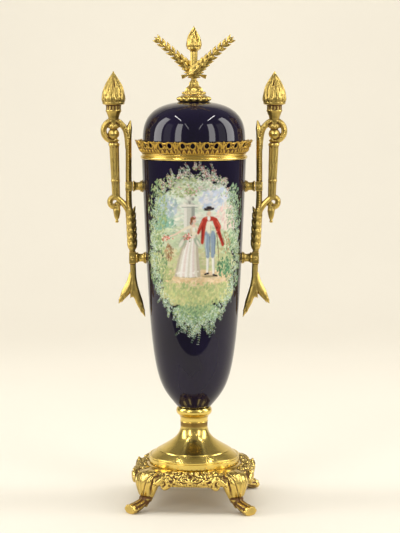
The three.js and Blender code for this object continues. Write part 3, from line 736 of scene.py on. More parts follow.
def paint_lady(canvas, chance):
    """A lady in a long pale dress with two bunches of flowers, the face without features."""
    skin, cream, white = pigment(236, 206, 186), pigment(238, 228, 204), pigment(246, 243, 236)
    pale, shadow, sage = pigment(226, 221, 206), pigment(192, 182, 162), pigment(168, 180, 158)
    canvas.dab(front(-5, 249.5), 26, 3, 0, pigment(120, 112, 84), 0.6)
    tones = (shadow, pale, white, pigment(236, 222, 214), white,
             pale, white, pigment(228, 214, 206), pale, shadow)
    for i in range(30):
        share = i / 29
        top = (-8 + 11 * share, 291)
        foot = (-19 + 25 * share, 250.5 + 1.6 * abs(share - 0.5) + chance.uniform(0, 1))
        middle = ((top[0] + foot[0]) / 2 - 1.4 * (1 - share), 270)
        canvas.stroke([top, middle, foot], (1.0, 2.1), tones[int(share * 9.99)])
    for _ in range(26):
        place = front(-18 + 23 * chance.uniform(0, 1), 253 + chance.normal(0, 1))
        canvas.dab(place, 2.4, 1.2, 20, white, 0.8)
    for x, z, length, width, degrees, tone in (
            (-11, 286, 15, 8, 58, sage), (-13, 284, 11, 4, 62, pale), (-9, 282, 9, 2, 70, shadow),
            (3.4, 286, 12, 6, -62, sage), (4.4, 284.5, 9, 2.6, -64, pale), (-2, 290.4, 8, 2, 0, cream),
            (-1, 297, 6.6, 11, 0, cream), (-3, 297, 2, 9, 6, pigment(214, 196, 168)),
            (0.2, 299, 2.2, 6, 0, white),
            (-0.6, 302.6, 7.2, 3.4, 0, skin), (0, 304.6, 2.4, 3, 0, skin),
            (0.4, 308, 4.9, 5.9, 0, skin), (-0.6, 310.6, 6.2, 3.8, 10, pigment(150, 94, 64)),
            (-2.4, 308, 2.8, 5.4, 8, pigment(132, 80, 56)), (-3.2, 305, 1.8, 4, 14, pigment(150, 94, 64)),
            (0.6, 312, 3.6, 1.8, -14, pigment(226, 170, 176)),
            (1.6, 307.2, 1.2, 1.2, 0, pigment(232, 176, 160))):
        canvas.dab(front(x, z), length, width, degrees, tone)
    canvas.stroke([(-3.6, 301.6), (-9, 299.4), (-15, 296)], (3.6, 2.4), cream)
    canvas.stroke([(-14.6, 296.2), (-20, 293), (-26.5, 290.6)], (1.9, 1.4), skin)
    canvas.stroke([(2.6, 301.4), (4.8, 296.6), (-1, 292.6)], (3.0, 1.9), cream)
    for _ in range(42):
        for x, z, spread in ((-7, 291.4, 2.3), (-29, 289.6, 2.6)):
            place = front(x + chance.normal(0, spread), z + chance.normal(0, 1.7))
            tone = ((214, 92, 84), (236, 158, 150), (246, 214, 206), (120, 142, 92))[chance.integers(4)]
            canvas.dab(place, 1.9, 1.3, chance.uniform(0, 180), pigment(*tone))


def paint_gentleman(canvas):
    """A gentleman in a red coat and a dark hat with a stick, the face without features."""
    red, deep, bright = pigment(180, 62, 50), pigment(122, 38, 38), pigment(216, 108, 86)
    white, skin, dark = pigment(240, 238, 230), pigment(230, 196, 172), pigment(50, 42, 46)
    blue, blue_light, blue_deep = pigment(142, 160, 180), pigment(184, 198, 206), pigment(98, 116, 140)
    canvas.dab(front(17, 249.4), 18, 2.6, 0, pigment(120, 112, 84), 0.6)
    for points, widths, tone in (
            ([(23.6, 297), (25.4, 276), (26.6, 254)], (0.9, 0.7), pigment(96, 66, 44)),
            ([(14.4, 271), (14.0, 262), (13.8, 254)], (3.2, 2.0), white),
            ([(19.6, 271), (19.9, 261), (20.2, 252)], (3.2, 2.0), white),
            ([(15.4, 268), (15.0, 256)], (0.8, 0.6), pigment(190, 190, 186)),
            ([(21, 268), (21.2, 254)], (0.8, 0.6), pigment(190, 190, 186)),
            ([(14.8, 252.6), (11.4, 251.6)], (2.2, 1.6), dark),
            ([(20.4, 250.8), (24, 249.6)], (2.2, 1.6), dark),
            ([(13.8, 294), (13.6, 282), (14.4, 271)], (5.8, 4.2), blue),
            ([(19.6, 294), (20.0, 282), (19.6, 271)], (6.0, 4.2), blue),
            ([(12.4, 291), (12.4, 280), (13.4, 272)], (1.6, 1.0), blue_light),
            ([(16.6, 290), (16.8, 276)], (1.3, 1.0), blue_deep),
            ([(22, 291), (21.8, 274)], (1.5, 1.0), blue_deep),
            ([(22.4, 307), (26.4, 294), (30, 282.5)], (6.4, 3.0), red),
            ([(24, 300), (28, 290), (31, 283)], (2.0, 1.2), deep),
            ([(11.4, 308), (10.0, 300), (8.8, 286)], (5.6, 3.6), red),
            ([(9.2, 304), (8.2, 290)], (1.4, 1.0), deep)):
        canvas.stroke(points, widths, tone)
    for x, z, length, width, degrees, tone in (
            (15.8, 301, 7.2, 15, 0, pigment(238, 230, 208)), (17.6, 299, 1.6, 11, 0, pigment(206, 194, 166)),
            (16.4, 309.8, 15, 5.6, 0, red), (12, 310.6, 5, 2.6, 14, bright),
            (15.6, 310.4, 3.8, 6.4, 0, white),
            (15.9, 315.2, 4.8, 6.0, 0, skin), (18.6, 314.4, 2.4, 5.2, 0, pigment(224, 218, 208)),
            (13.4, 314.8, 1.4, 4.2, 0, pigment(206, 198, 188)),
            (14.4, 314.4, 1.2, 1.2, 0, pigment(228, 168, 150)),
            (15.8, 319.4, 12.4, 2.6, 4, dark), (15.8, 321.2, 7, 3.8, 0, dark),
            (12.2, 320.0, 4, 2.2, -28, dark), (19.6, 320.2, 4, 2.2, 28, dark),
            (15.2, 318.9, 9, 0.7, 4, pigment(150, 128, 84))):
        canvas.dab(front(x, z), length, width, degrees, tone)
    canvas.stroke([(10.4, 308.6), (6.6, 300.4), (4.6, 295)], (4.4, 3.0), red)
    canvas.stroke([(8.6, 307), (5.8, 300)], (1.3, 1.0), bright)
    canvas.dab(front(3.9, 293.6), 2.2, 1.9, 0, skin)
    canvas.stroke([(22.6, 308.4), (26.6, 301), (24.2, 296.6)], (4.6, 3.2), red)
    canvas.stroke([(24.4, 306.6), (27.6, 300.6)], (1.3, 1.0), bright)
    canvas.dab(front(23.4, 296), 2.2, 1.9, 0, skin)


LEAF_TONES = (
    (206, 228, 212), (168, 198, 174), (134, 166, 136), (186, 198, 128), (232, 240, 230), (104, 134, 104))
BLOSSOM_TONES = ((230, 184, 190), (248, 242, 238), (208, 120, 120), (240, 214, 204))


def oval(turn, out):
    """A place on the picture's edge, which narrows to a tassel at its foot."""
    squeeze = 1 - 0.34 * min(1, max(0, (-math.sin(turn) - 0.55) / 0.4))
    return np.array([
        PICTURE_MIDDLE[0] + PICTURE_HALF_WIDTH * out * math.cos(turn) * squeeze,
        PICTURE_MIDDLE[1] + PICTURE_HALF_HEIGHT * out * math.sin(turn)])


def paint_border(canvas, chance):
    """Sprays of small leaves all around the picture, with blossom at the top and fringes at the foot."""
    for i in range(BORDER_TOUCHES):
        turn = chance.uniform(0, TURN)
        out = chance.uniform(0.84, 1.05)
        place = oval(turn, out)
        tone = pigment(*LEAF_TONES[(1, 0, 3, 5, 2, 4)[i % 6]]) * chance.uniform(0.85, 1.04)
        if math.sin(turn) < 0.6 or i % 4 == 0:
            canvas.dab(
                place, chance.uniform(1.3, 2.5), chance.uniform(0.8, 1.3), chance.uniform(0, 180), tone, 0.9)
    for i in range(BORDER_SPRAYS):
        turn = TURN * (i + chance.uniform(0, 1)) / BORDER_SPRAYS
        rise = math.sin(turn)
        if rise > 0.7 and i % 2:
            continue
        place = oval(turn, chance.uniform(0.88, 1.0))
        heading = math.atan2(1.15 * rise, math.cos(turn)) + chance.normal(0, 0.55)
        if rise < -0.3:
            heading = -math.pi / 2 + chance.normal(0, 0.5)
        length = chance.uniform(5, 11) * (1 + 4 * max(0, -0.82 - rise))
        for k in range(SPRAY_LEAVES):
            place = place + length / SPRAY_LEAVES * np.array([math.cos(heading), math.sin(heading)])
            heading += chance.normal(0, 0.12)
            canvas.dab(place, 1.6, 0.45, math.degrees(heading), pigment(112, 132, 104), 0.8)
            for hand in (-1, 1):
                turned_out = heading + hand * 0.85
                tip = place + 1.05 * np.array([math.cos(turned_out), math.sin(turned_out)])
                tones = BLOSSOM_TONES if rise > 0.7 and chance.uniform(0, 1) < 0.6 else LEAF_TONES
                tone = pigment(*tones[chance.integers(len(tones) - (tones is LEAF_TONES))])
                size = chance.uniform(1.2, 2.0) * (1 - 0.05 * k)
                tone = tone * chance.uniform(0.88, 1.04)
                canvas.dab(tip, size, size * 0.55, math.degrees(turned_out), tone)


def painted_values(points):
    """The picture's colour and cover for the points of the body."""
    canvas = Canvas(PAINTING_WIDTH, PAINTING_LOW, SHOULDER_TOP, sizes().painting_grain / MM)
    chance = np.random.default_rng(PAINTING_SEED)
    paint_landscape(canvas, chance)
    paint_urn(canvas, chance)
    paint_lady(canvas, chance)
    paint_gentleman(canvas)
    paint_border(canvas, chance)
    radius = np.hypot(points[:, 0], points[:, 1]) / MM
    height = points[:, 2] / MM
    angle = np.arctan2(points[:, 0], -points[:, 1])
    values = canvas.sampled(angle * radius, height)
    outside = radius > body_radius(height) - 1
    shown = outside & (np.abs(angle * radius) < PAINTING_WIDTH / 2) & (height > PAINTING_LOW)
    values[:, 3] *= shown
    values[:, :3] = values[:, :3] ** 2.2
    return values


# Turned pieces

# Degrees and steps of the body's turn from +X on: coarse at the back and fine across the picture
BODY_SECTORS = ((20, 5), (140, 190), (200, 50))


def dress_vase_body():
    """The porcelain, with a fine mesh on its front that carries the picture."""
    heights = np.concatenate([
        np.linspace(BODY_BOTTOM, PAINTING_LOW, 36), np.linspace(PAINTING_LOW, SHOULDER_TOP, 300)[1:]])
    outside = list(zip(body_radius(heights), heights))
    piece = turned([(0, BODY_BOTTOM - 4.3), (15, BODY_BOTTOM - 4.3), (15, BODY_BOTTOM)] + outside + [
        (NECK_OUTSIDE, SHOULDER_TOP), (NECK_OUTSIDE, RIM_TOP),
        (NECK_INSIDE, RIM_TOP), (NECK_INSIDE, SHOULDER_TOP)]
        + [(r - 4, z + 1) for r, z in bezier(BODY_CURVE, 14)[-2:0:-1]]
        + [(14.8, BODY_BOTTOM + 8), (0, BODY_BOTTOM + 4)], sectors=BODY_SECTORS)
    picture = piece.data.attributes.new("picture", "FLOAT_COLOR", "POINT")
    picture.data.foreach_set("color", painted_values(coordinates(piece)).astype(np.float32).ravel())
    return finished(piece, "painted_body", "cobalt_porcelain", painted_glaze("painted_cobalt"), "vase_body")


def dress_lid():
    """A hollow dome on a round lip, with a flange that drops into the neck."""
    radius = SHOULDER_RADIUS - 0.9
    bottom = RIM_TOP + GAP
    springing = bottom + 14
    flange = NECK_INSIDE - GAP
    rise = LID_TOP - springing

    def dome(inset):
        return bezier([(radius - inset, springing), (radius - inset, springing + 0.56 * rise),
                       (0.83 * radius - inset, LID_TOP - inset), (0, LID_TOP - inset)], 40)

    lip = arc((radius - 0.8, bottom + 0.8), 0.8, -90, 0, 4)
    piece = turned(
        [(flange, bottom), *lip, *dome(0), *dome(3.5)[::-1], (flange - 3.5, bottom + 3.5),
         (flange - 3.5, bottom - 6), (flange, bottom - 6), (flange, bottom)], sizes().turned_steps)
    return finished(piece, "porcelain_lid", "cobalt_porcelain", cobalt_glaze("cobalt_lid"), "lid")


def dress_socle():
    """A disc, a cone, a trumpet-shaped stem and a round collar, spun as one hollow piece."""
    bottom = SOCLE_BOTTOM
    disc = 48.6
    edge = bottom + 8.6
    cone = edge + 5
    stem_top = bottom + 45
    collar = stem_top + 5.6
    half = (COLLAR_TOP - collar) / 2
    trumpet = bezier([(39.0, cone + 0.5), (24.6, cone + 9), (14.6, cone + 14), (14.6, stem_top - 5.5)], 26)
    outer = [
        (disc - 0.3, bottom), (disc, bottom + 0.3), (disc, edge - 3.0),
        *arc((disc + 0.1, edge - 2.6), 0.4, 250, 110, 5), (disc, edge - 2.1),
        *arc((disc - 0.9, edge - 0.9), 0.9, 0, 80, 5),
        (disc - 1.9, edge - 0.25), (disc - 2.2, edge - 0.35), (disc - 2.6, edge + 0.1),
        (40.1, cone - 0.35), (39.7, cone - 0.55), (39.3, cone - 0.1), *trumpet,
        (14.6, stem_top - 1.4), *arc((14.5, stem_top - 0.7), 0.6, -70, 70, 5), (14.7, stem_top + 0.3),
        *bezier([(14.7, stem_top + 0.4), (14.7, stem_top + 2), (15, stem_top + 4), (15.8, collar)], 6),
        *arc((19.2 - half, collar + half), half, -62, 62, 15),
        (16.2, COLLAR_TOP), (15.3, COLLAR_TOP - 0.4), (15.3, COLLAR_TOP - 4.6), (0, COLLAR_TOP - 4.6)]
    inner = [(0, COLLAR_TOP - 8.6), (12.6, COLLAR_TOP - 8.6), (12.6, cone + 17),
             *bezier([(12.6, cone + 16), (14, cone + 9), (34, cone - 1), (46.6, edge - 3)], 8),
             (46.6, bottom), outer[0]]
    piece = turned(outer + inner, sizes().turned_steps, 30)
    mark_recesses(piece, 3, 0.25)
    return finished(piece, "spun_socle", "gilt_brass", polished_brass("spun_brass", 0.13), "socle")


def dress_rim_ring():
    """A round moulding with a step above it, around the neck of the body."""
    radius = SHOULDER_RADIUS + 1.4
    inside = NECK_OUTSIDE + GAP
    low, top = RING_BOTTOM, level("rim_ring", 1)
    piece = turned([
        *arc((radius - 1.9, low + 1.9), 1.9, -80, 78, 12),
        (radius - 1.9, low + 3.85), (radius - 2.1, low + 4.3), (radius - 1.95, low + 4.9),
        (radius - 1.3, low + 5.3), *arc((radius - 1.6, top - 0.5), 0.5, -30, 90, 5),
        (inside, top), (inside, low), (radius - 1.57, low + 0.02)], sizes().turned_steps, 32)
    mark_recesses(piece, 2, 0.3)
    return finished(piece, "spun_ring", "gilt_brass", polished_brass("ring_brass", 0.15), "rim_ring")


def dress_spacers():
    """One spool for each of the four places, cut to the porcelain that it stands against."""
    finish = cast_brass("spacer_brass", 1, 0.24, 0.7)
    for end, height in (("upper", UPPER_SPACER), ("lower", LOWER_SPACER)):
        last = reach(f"boss_{end}_right")
        first = body_radius(height - 6.6) - 1.2
        length = last - first
        spool = turned([
            (0, 0), (6.2, 0), *arc((6.1, 2.1), 0.5, -60, 60, 4),
            (5.7, 3.0), *arc((5.6, 3.6), 0.5, -60, 60, 4),
            *bezier([(5.2, 4.2), (3.9, 5.0), (3.9, 0.72 * length), (5.0, length - 1.9)], 9),
            *arc((5.3, length - 0.9), 0.7, -60, 60, 4), (5.2, length), (0, length)], 48)
        moved(spool, shift(first, 0, height) @ about_y(90))
        porcelain = turned([(0, height - 12)] + [
            (body_radius(z) + 0.25, z) for z in np.linspace(height - 12, height + 12, 7)]
            + [(0, height + 12)], sizes().turned_steps)
        modified(spool, "BOOLEAN", operation="DIFFERENCE", object=porcelain, solver="EXACT")
        discard(porcelain)
        bpy.ops.object.shade_smooth_by_angle(angle=math.radians(40))
        mark_recesses(spool, 2, 0.3)
        twin = copied(spool, Matrix.Scale(-1, 4, (1, 0, 0)))
        finished(spool, f"spacer_{end}_right", "gilt_brass", finish, f"boss_{end}_right")
        finished(twin, f"spacer_{end}_left", "gilt_brass", finish, f"boss_{end}_left")


# Cast forms that come again on several pieces

def blade(length, half_width, thickness, fold):
    """A pointed leaf that stands on the origin, grows along Z and faces -Y, with a raised midrib."""
    shares = np.linspace(0, 1, 7)
    swell = np.sin(np.pi * np.clip(shares, 0.03, 0.985) ** 0.8) + 0.02
    piece = swept([(0, length * s) for s in shares], list(thickness * swell), list(half_width * swell), 8)
    points = coordinates(piece)
    middle = (abs(points[:, 0]) < 0.25 * half_width * MM) & (points[:, 1] < 0)
    points[middle, 1] -= fold * MM
    set_coordinates(piece, points)
    return piece


def tongue(outline, first, last, half_width, sway):
    """One lick of a flame on an outline of (radius, height), from a first to a last share of its height."""
    shares = np.linspace(first, last, 9)
    heights = np.array([p[1] for p in outline])
    radii = np.array([p[0] for p in outline])
    level_at = heights[0] + shares * (heights[-1] - heights[0])
    radius_at = np.interp(level_at, heights, radii)
    fade = np.linspace(0, 1, 9)
    taper = np.clip(1.0 - fade ** 2.2, 0.10, 1) * (0.75 + 0.25 * np.sin(np.pi * np.minimum(fade * 1.4, 1)))
    kick = 0.35 * half_width * np.sin(np.pi * fade * 1.2)
    path = [(r - 0.35 * half_width + k, z) for r, z, k in zip(radius_at, level_at, kick)]
    piece = swept(path, list(half_width * taper), list(0.8 * half_width * taper), 8)
    points = coordinates(piece)
    rise = (points[:, 2] / MM - level_at[0]) / (level_at[-1] - level_at[0])
    points[:, 1] += sway * MM * np.sin(2.4 * np.pi * rise) * np.clip(rise, 0, 1)
    set_coordinates(piece, points)
    return piece


def flame(radius, height, tiers):
    """A flame that stands on the origin: a core with rings of tongues that lick up around it.

    Each tier is a number of tongues, the shares of the height where they start and end, their half width as a
    share of the radius, and the angle of the first one.
    """
    outline = [(radius * r, height * z) for r, z in (
        (0.86, 0), (0.99, 0.07), (1.0, 0.15), (0.91, 0.31), (0.77, 0.46), (0.59, 0.61), (0.40, 0.76),
        (0.21, 0.90), (0.05, 1.0))]
    core = [(0, 0)] + [(0.80 * r, 0.97 * z) for r, z in outline[:-1]] + [(0, 0.97 * height)]
    forms = [turned(core, 24)]
    for count, first, last, width, turn in tiers:
        for side in range(2):
            lick = tongue(outline, first, last - 0.09 * side, width * radius, (0.5 - side) * 0.14 * radius)
            for i in range(side, count, 2):
                forms.append(copied(lick, about_z(turn + 360 * i / count)))
            discard(lick)
    return assembled(forms)


def fluted(radius_low, radius_high, low, high, count):
    """Reeds side by side around an upright shaft."""
    radii = np.array([radius_low, (radius_low + radius_high) / 2, radius_high])
    widths = radii * math.sin(math.pi / count)
    reed = swept(list(zip(radii, (low, (low + high) / 2, high))), widths, 0.7 * widths, 8)
    reeds = ring(reed, count, first=180 / count)
    discard(reed)
    return assembled(reeds)


# Finial

def dress_rosette():
    """Fourteen gadroons around a disc, seated on the lid's crown."""
    low, top = ROSETTE_BOTTOM, ROSETTE_TOP
    rim = reach("finial_rosette")
    disc = turned([(0, low + 1.25), (9, low + 1), (16.2, low + 0.3), (17.2, low + 1.2), (17, low + 3.4),
                   (13.6, top - 0.9), (13.4, top - 0.1), (0, top - 0.1)], 64)
    lobe = bead(1)
    moved(lobe, Matrix.Diagonal((3.8, 5.2, 2.9, 1)))
    points = coordinates(lobe)
    points[:, 0] *= 1 - 0.16 * points[:, 1] / MM / 5
    set_coordinates(lobe, points)
    moved(lobe, shift(0, -(rim - 5.1), low + 3.4))
    forms = [disc] + ring(lobe, 14, first=180 / 14)
    discard(lobe)
    piece = cast(forms, 0.0004, 2)
    mark_recesses(piece, 8, 0.35)
    finish = cast_brass("rosette_brass", 1.1, 0.2, 0.85)
    return finished(piece, "cast_rosette", "gilt_brass", finish, "finial_rosette")


def laurel(side, depth, crossing):
    """A laurel branch that crosses the torch: a stem with a flared stub and pairs of folded leaves."""
    tip = (side * (reach("finial_torch") - 1.6), crossing + 36.6)
    stem = through([(-13 * side, crossing - 5.6), (-6 * side, crossing - 3.2), (0, crossing),
                    (12 * side, crossing + 10.5), (27 * side, crossing + 24), tip], 24)
    thick = list(np.interp(np.linspace(0, 1, 24), (0, 0.06, 0.16, 0.3, 1), (2.3, 2.1, 1.25, 1.3, 0.5)))
    forms = [moved(swept(stem, thick, thick, 8), shift(0, depth, 0))]
    leaf = blade(11.6, 2.6, 1.1, 0.5)
    facing = blade(9.0, 2.3, 1.0, 0.5)
    run = np.array(stem)
    pairs = 11
    for i in range(pairs):
        place = 23 * (0.25 + 0.66 * i / (pairs - 1))
        x, z = (float(np.interp(place, range(24), run[:, axis])) for axis in (0, 1))
        ahead = run[int(place) + 1] - run[int(place)]
        heading = math.degrees(math.atan2(*ahead))
        size = 1.04 - 0.026 * i
        for hand in (-1, 1):
            turn = about_y(heading + hand * (39 - i)) @ about_z(-12 * hand)
            forms.append(copied(leaf, shift(x, depth, z) @ turn @ Matrix.Scale(size, 4)))
            turn = about_y(heading + 10 * hand * (-1) ** i) @ about_x(9 * hand)
            forms.append(copied(facing, shift(x, depth - 0.9 * hand, z) @ turn @ Matrix.Scale(size, 4)))
    x, z = run[-3]
    heading = math.degrees(math.atan2(*(run[-1] - run[-3])))
    forms.append(copied(leaf, shift(x, depth, z) @ about_y(heading) @ Matrix.Scale(0.7, 4)))
    discard(leaf, facing)
    return forms


def dress_finial_torch():
    """A reeded torch on a leafy foot, with its flame and the two branches that cross it."""
    low = TORCH_BOTTOM
    crossing = low + 24.2
    cup = low + 49
    core = turned([
        (0, low), (12.1, low), (12.5, low + 0.8), (12.3, low + 1.6), (10.6, low + 2.4), (9.4, low + 3.6),
        (7.2, low + 6.2), (5.2, low + 9.4), (3.6, low + 12), (3.1, low + 16), (2.8, crossing - 2),
        (3.0, crossing + 3), (3.1, cup - 5), (3.8, cup - 3.4), (6.4, cup - 1.4), (7.5, cup - 0.9),
        (7.6, cup), (7.2, cup + 0.6), (5.8, cup + 0.9), (0, cup + 1.2)], 40)
    forms = [core, fluted(3.1, 3.4, crossing + 1, cup - 3.2, 10)]
    lobe = bead(1.8, 0.9)
    moved(lobe, shift(0, -11.3, low + 1.7))
    petal = blade(8.6, 2.9, 1.5, 0.7)
    moved(petal, shift(0, -9.4, low + 2.2) @ about_x(-32))
    upper = blade(7.6, 2.0, 1.2, 0.5)
    moved(upper, shift(0, -4.9, low + 8.6) @ about_x(-18))
    forms += ring(lobe, 20) + ring(petal, 10) + ring(upper, 8, first=22)
    discard(lobe, petal, upper)
    fire = flame(7.3, TORCH_TOP - cup + 0.4, (
        (14, 0.0, 0.48, 0.21, 0), (11, 0.04, 0.68, 0.23, 20),
        (8, 0.10, 0.86, 0.24, 8), (5, 0.2, 0.985, 0.26, 40)))
    forms.append(moved(fire, shift(0, 0, cup)))
    forms += laurel(1, -3.4, crossing) + laurel(-1, 3.4, crossing)
    piece = thinned(cast(forms, 0.00034, 1), FINIAL_TRIANGLES)
    mark_recesses(piece, 9, 0.35)
    return finished(
        piece, "cast_finial", "gilt_brass", cast_brass("finial_brass", 1.05, 0.25), "finial_torch")


# Handles, modelled on the +X side

TORCH_X = 85
HOOP_LEVEL = UPPER_SPACER + 58.7

# The blocks that hold the rod to the spacers: height, distance along X and half height
BLOCKS = ((UPPER_SPACER, 69, 5.2), (LOWER_SPACER, 65.4, 6.5))
BLOCK_HALF_WIDTH = 3.8
BLOCK_HALF_DEPTH = 4.7


def handle_rod_path():
    """The rod that runs up the handle, in (x, z)."""
    top = UPPER_SPACER + 69.7
    return through([
        (64.6, LOWER_SPACER - 24), (65.4, LOWER_SPACER - 2), (67.2, LOWER_SPACER + 36),
        (69.2, UPPER_SPACER - 14), (69.2, UPPER_SPACER + 30), (69.0, top - 14), (67.2, top)], 34)


def rod_reach(height):
    """How far out the middle of the rod stands at a height."""
    reaches, heights = zip(*handle_rod_path())
    return float(np.interp(height, heights, reaches))


def handle_torch_head():
    """The turned and reeded head of a hanging torch, on the vase's axis."""
    hoop = HOOP_LEVEL
    cup = hoop + 29
    outline = [
        (0, hoop - 9), (3.4, hoop - 8.6), (5.6, hoop - 6), (6.1, hoop - 3), (5.4, hoop - 0.2),
        (3.9, hoop + 1.2), (3.9, hoop + 2), (5.6, hoop + 2.8), (5.7, hoop + 6.4), (4.6, hoop + 7.4),
        (4.6, hoop + 11), (5.6, hoop + 13.5), (5.9, hoop + 15), (7.6, hoop + 19.3), (8.4, hoop + 20.6),
        (8.4, hoop + 21.8), (7.0, hoop + 22.4), (6.9, hoop + 26.5), (9.6, hoop + 27.4),
        (11.4, hoop + 27.9), (11.8, cup + 0.2), (11.5, cup + 1.5), (0, cup + 2)]
    forms = [turned(outline, 40), fluted(7.0, 7.0, hoop + 22, hoop + 27.4, 14)]
    bud = bead(1.1, 0.8)
    moved(bud, Matrix.Diagonal((1, 1, 1.5, 1)))
    for count, radius, height in ((8, 5.4, hoop - 3), (12, 5.4, hoop + 4.4), (16, 11.0, cup + 0.6)):
        forms += ring(bud, count, shift(0, -radius, height))
    discard(bud)
    fire = flame(11.5, HANDLE_TOP - cup - 0.3, (
        (18, 0.0, 0.46, 0.17, 0), (14, 0.04, 0.66, 0.20, 9),
        (9, 0.12, 0.84, 0.21, 3), (5, 0.2, 0.985, 0.24, 20)))
    forms.append(moved(fire, shift(0, 0, cup)))
    return assembled(forms)


def handle_strap(path, thick_from, thick_to, deep, rows):
    """A flat strap with rows of beads on both faces.

    Each row is the shares of the strap's length where it starts and ends, and its number of beads.
    """
    count = len(path)
    thickness = list(np.linspace(thick_from, thick_to, count))
    depth = [deep * (0.72 + 0.28 * math.sin(math.pi * min(1, 0.15 + i / count))) for i in range(count)]
    forms = [swept(path, depth, thickness, 8)]
    bud = bead(1.0, 0.8)
    for first, last, number in rows:
        for share in np.linspace(first, last, number):
            x, z = path[int(share * (count - 1))]
            side = depth[int(share * (count - 1))]
            forms += [copied(bud, shift(x, y, z)) for y in (-side, side)]
    discard(bud)
    return forms


def handle_scrolls():
    """The hoop that the torch hangs in and the small curl that steadies its foot."""
    hoop = (TORCH_X, HOOP_LEVEL)
    curl = (84, UPPER_SPACER - 16.9)
    upper = through([(69.6, hoop[1] - 19), (70.6, hoop[1] - 7), (72.6, hoop[1] + 1.5)]
                    + arc(hoop, 10.6, 140, -96, 12) + [(81.5, hoop[1] - 8.2)], 46)
    lower = through([(68.0, curl[1] - 17), (70.6, curl[1] - 8), (75.4, curl[1] - 1.2)]
                    + arc(curl, 5.3, 150, -120, 9) + [(81.6, curl[1] - 2.4), (83.4, curl[1] - 0.2)], 40)
    forms = handle_strap(upper, 3.3, 3.4, 3.9, ((0.04, 0.99, 36),))
    forms += handle_strap(lower, 3.3, 3.0, 3.6, ((0.45, 0.95, 12),))
    return forms


def handle_tube():
    """The torch's reeded shaft, its collar and the bud that hangs under it."""
    length = 50
    lean = -1.7
    top = UPPER_SPACER + 42.7
    bottom = top - length
    band = bottom + 13
    core = turned([
        (0, bottom - 4), (3.4, bottom - 3), (3.6, band - 1.6), (4.9, band - 0.9), (4.9, band + 0.9),
        (3.8, band + 1.6), (4.1, top - 1), (5.6, top - 0.2), (6.0, top + 1.2), (5.5, top + 3),
        (0, top + 3.6)], 32)
    shaft = assembled([core, fluted(3.5, 4.3, bottom - 3, top - 0.4, 9)])
    points = coordinates(shaft)
    points[:, 0] += lean * (top * MM - points[:, 2]) / length
    set_coordinates(shaft, points)
    moved(shaft, shift(84.6, 0, 0))
    foot = UPPER_SPACER - 39.3
    drop = turned([
        (0, foot), (1.7, foot + 0.7), (2.0, foot + 1.9), (1.2, foot + 3.4), (2.4, foot + 5.2),
        (3.4, foot + 9.5), (4.0, foot + 13.5), (3.4, foot + 18), (0, foot + 20)], 20)
    petal = blade(13, 2.2, 1.0, 0.5)
    moved(petal, about_x(180))
    husk = ring(petal, 5, shift(0, -3.0, foot + 18) @ about_x(8))
    discard(petal)
    pendant = moved(assembled([drop] + husk), shift(82, 0, 0))
    return [shaft, pendant]


def handle_leaves():
    """Husks that climb the rod and the forked spray at its foot."""
    forms = []
    husk = blade(13.5, 3.4, 1.9, 0.6)
    small = blade(11.5, 3.0, 1.3, 0.5)
    for tier in range(6):
        foot = LOWER_SPACER + 6.5 + 7.2 * tier
        x = rod_reach(foot)
        for side in (-1, 1):
            outwards = shift(x + 0.6 * side, 0, foot) @ about_y(19 * side) @ about_z(90 * side)
            sideways = shift(x, 1.9 * side, foot + 1) @ about_x(-9 * side) @ about_z(90 + 90 * side)
            forms += [copied(husk, outwards), copied(small, sideways)]
    discard(husk, small)
    fork = LOWER_SPACER - 19
    shares = np.linspace(0, 1, 14)
    swell = np.interp(shares, (0, 0.12, 0.4, 0.62, 0.85, 1), (0.6, 0.75, 1.0, 0.95, 0.5, 0.06))
    vein = blade(8.5, 1.5, 0.7, 0.2)
    for (x, z), reach_x, reach_z, width in (
            ((66, fork + 3), 14.8, -33.4, 4.9), ((64.6, fork + 2), -12.4, -47, 4.2),
            ((65.2, fork + 2), 0.5, -26, 5.0)):
        bend = 0.16 * reach_x
        path = through([
            (x, z), (x + 0.25 * reach_x - bend * 0.6, z + 0.36 * reach_z),
            (x + 0.62 * reach_x - bend * 0.3, z + 0.70 * reach_z), (x + reach_x, z + reach_z)], 14)
        forms.append(swept(path, list(4.0 * swell), list(width * swell), 10))
        for share in (0.18, 0.36, 0.54, 0.70):
            i = int(share * 13)
            (here_x, here_z), (next_x, next_z) = path[i:i + 2]
            heading = math.degrees(math.atan2(next_x - here_x, next_z - here_z))
            for hand in (-1, 1):
                for face in (-1, 1):
                    turn = about_y(heading + 15 * hand) @ about_z(90 + 90 * face)
                    forms.append(copied(vein, shift(here_x, 3.0 * swell[i] * face, here_z) @ turn))
    discard(vein)
    return forms


def handle_blocks():
    """The bevelled blocks behind the spacers' ends, with a boss on their front and back."""
    forms = []
    for height, x, half_height in BLOCKS:
        middle = in_millimetres(x, 0, height)
        deselect()
        bpy.ops.mesh.primitive_cube_add(size=2 * MM, location=middle)
        bpy.ops.object.mode_set(mode="EDIT")
        bpy.ops.transform.resize(
            value=(BLOCK_HALF_WIDTH, BLOCK_HALF_DEPTH, half_height), center_override=middle)
        bpy.ops.mesh.bevel(offset=0.9 * MM, segments=2, affect="EDGES")
        bpy.ops.object.mode_set(mode="OBJECT")
        bpy.ops.object.transform_apply(location=True, rotation=True, scale=True)
        forms.append(bpy.context.object)
    bud = bead(1.0)
    moved(bud, Matrix.Diagonal((2.2, 1, 2.2, 1)))
    for height, x, _ in BLOCKS:
        forms += [copied(bud, shift(x, side * BLOCK_HALF_DEPTH, height)) for side in (-1, 1)]
    discard(bud)
    return forms


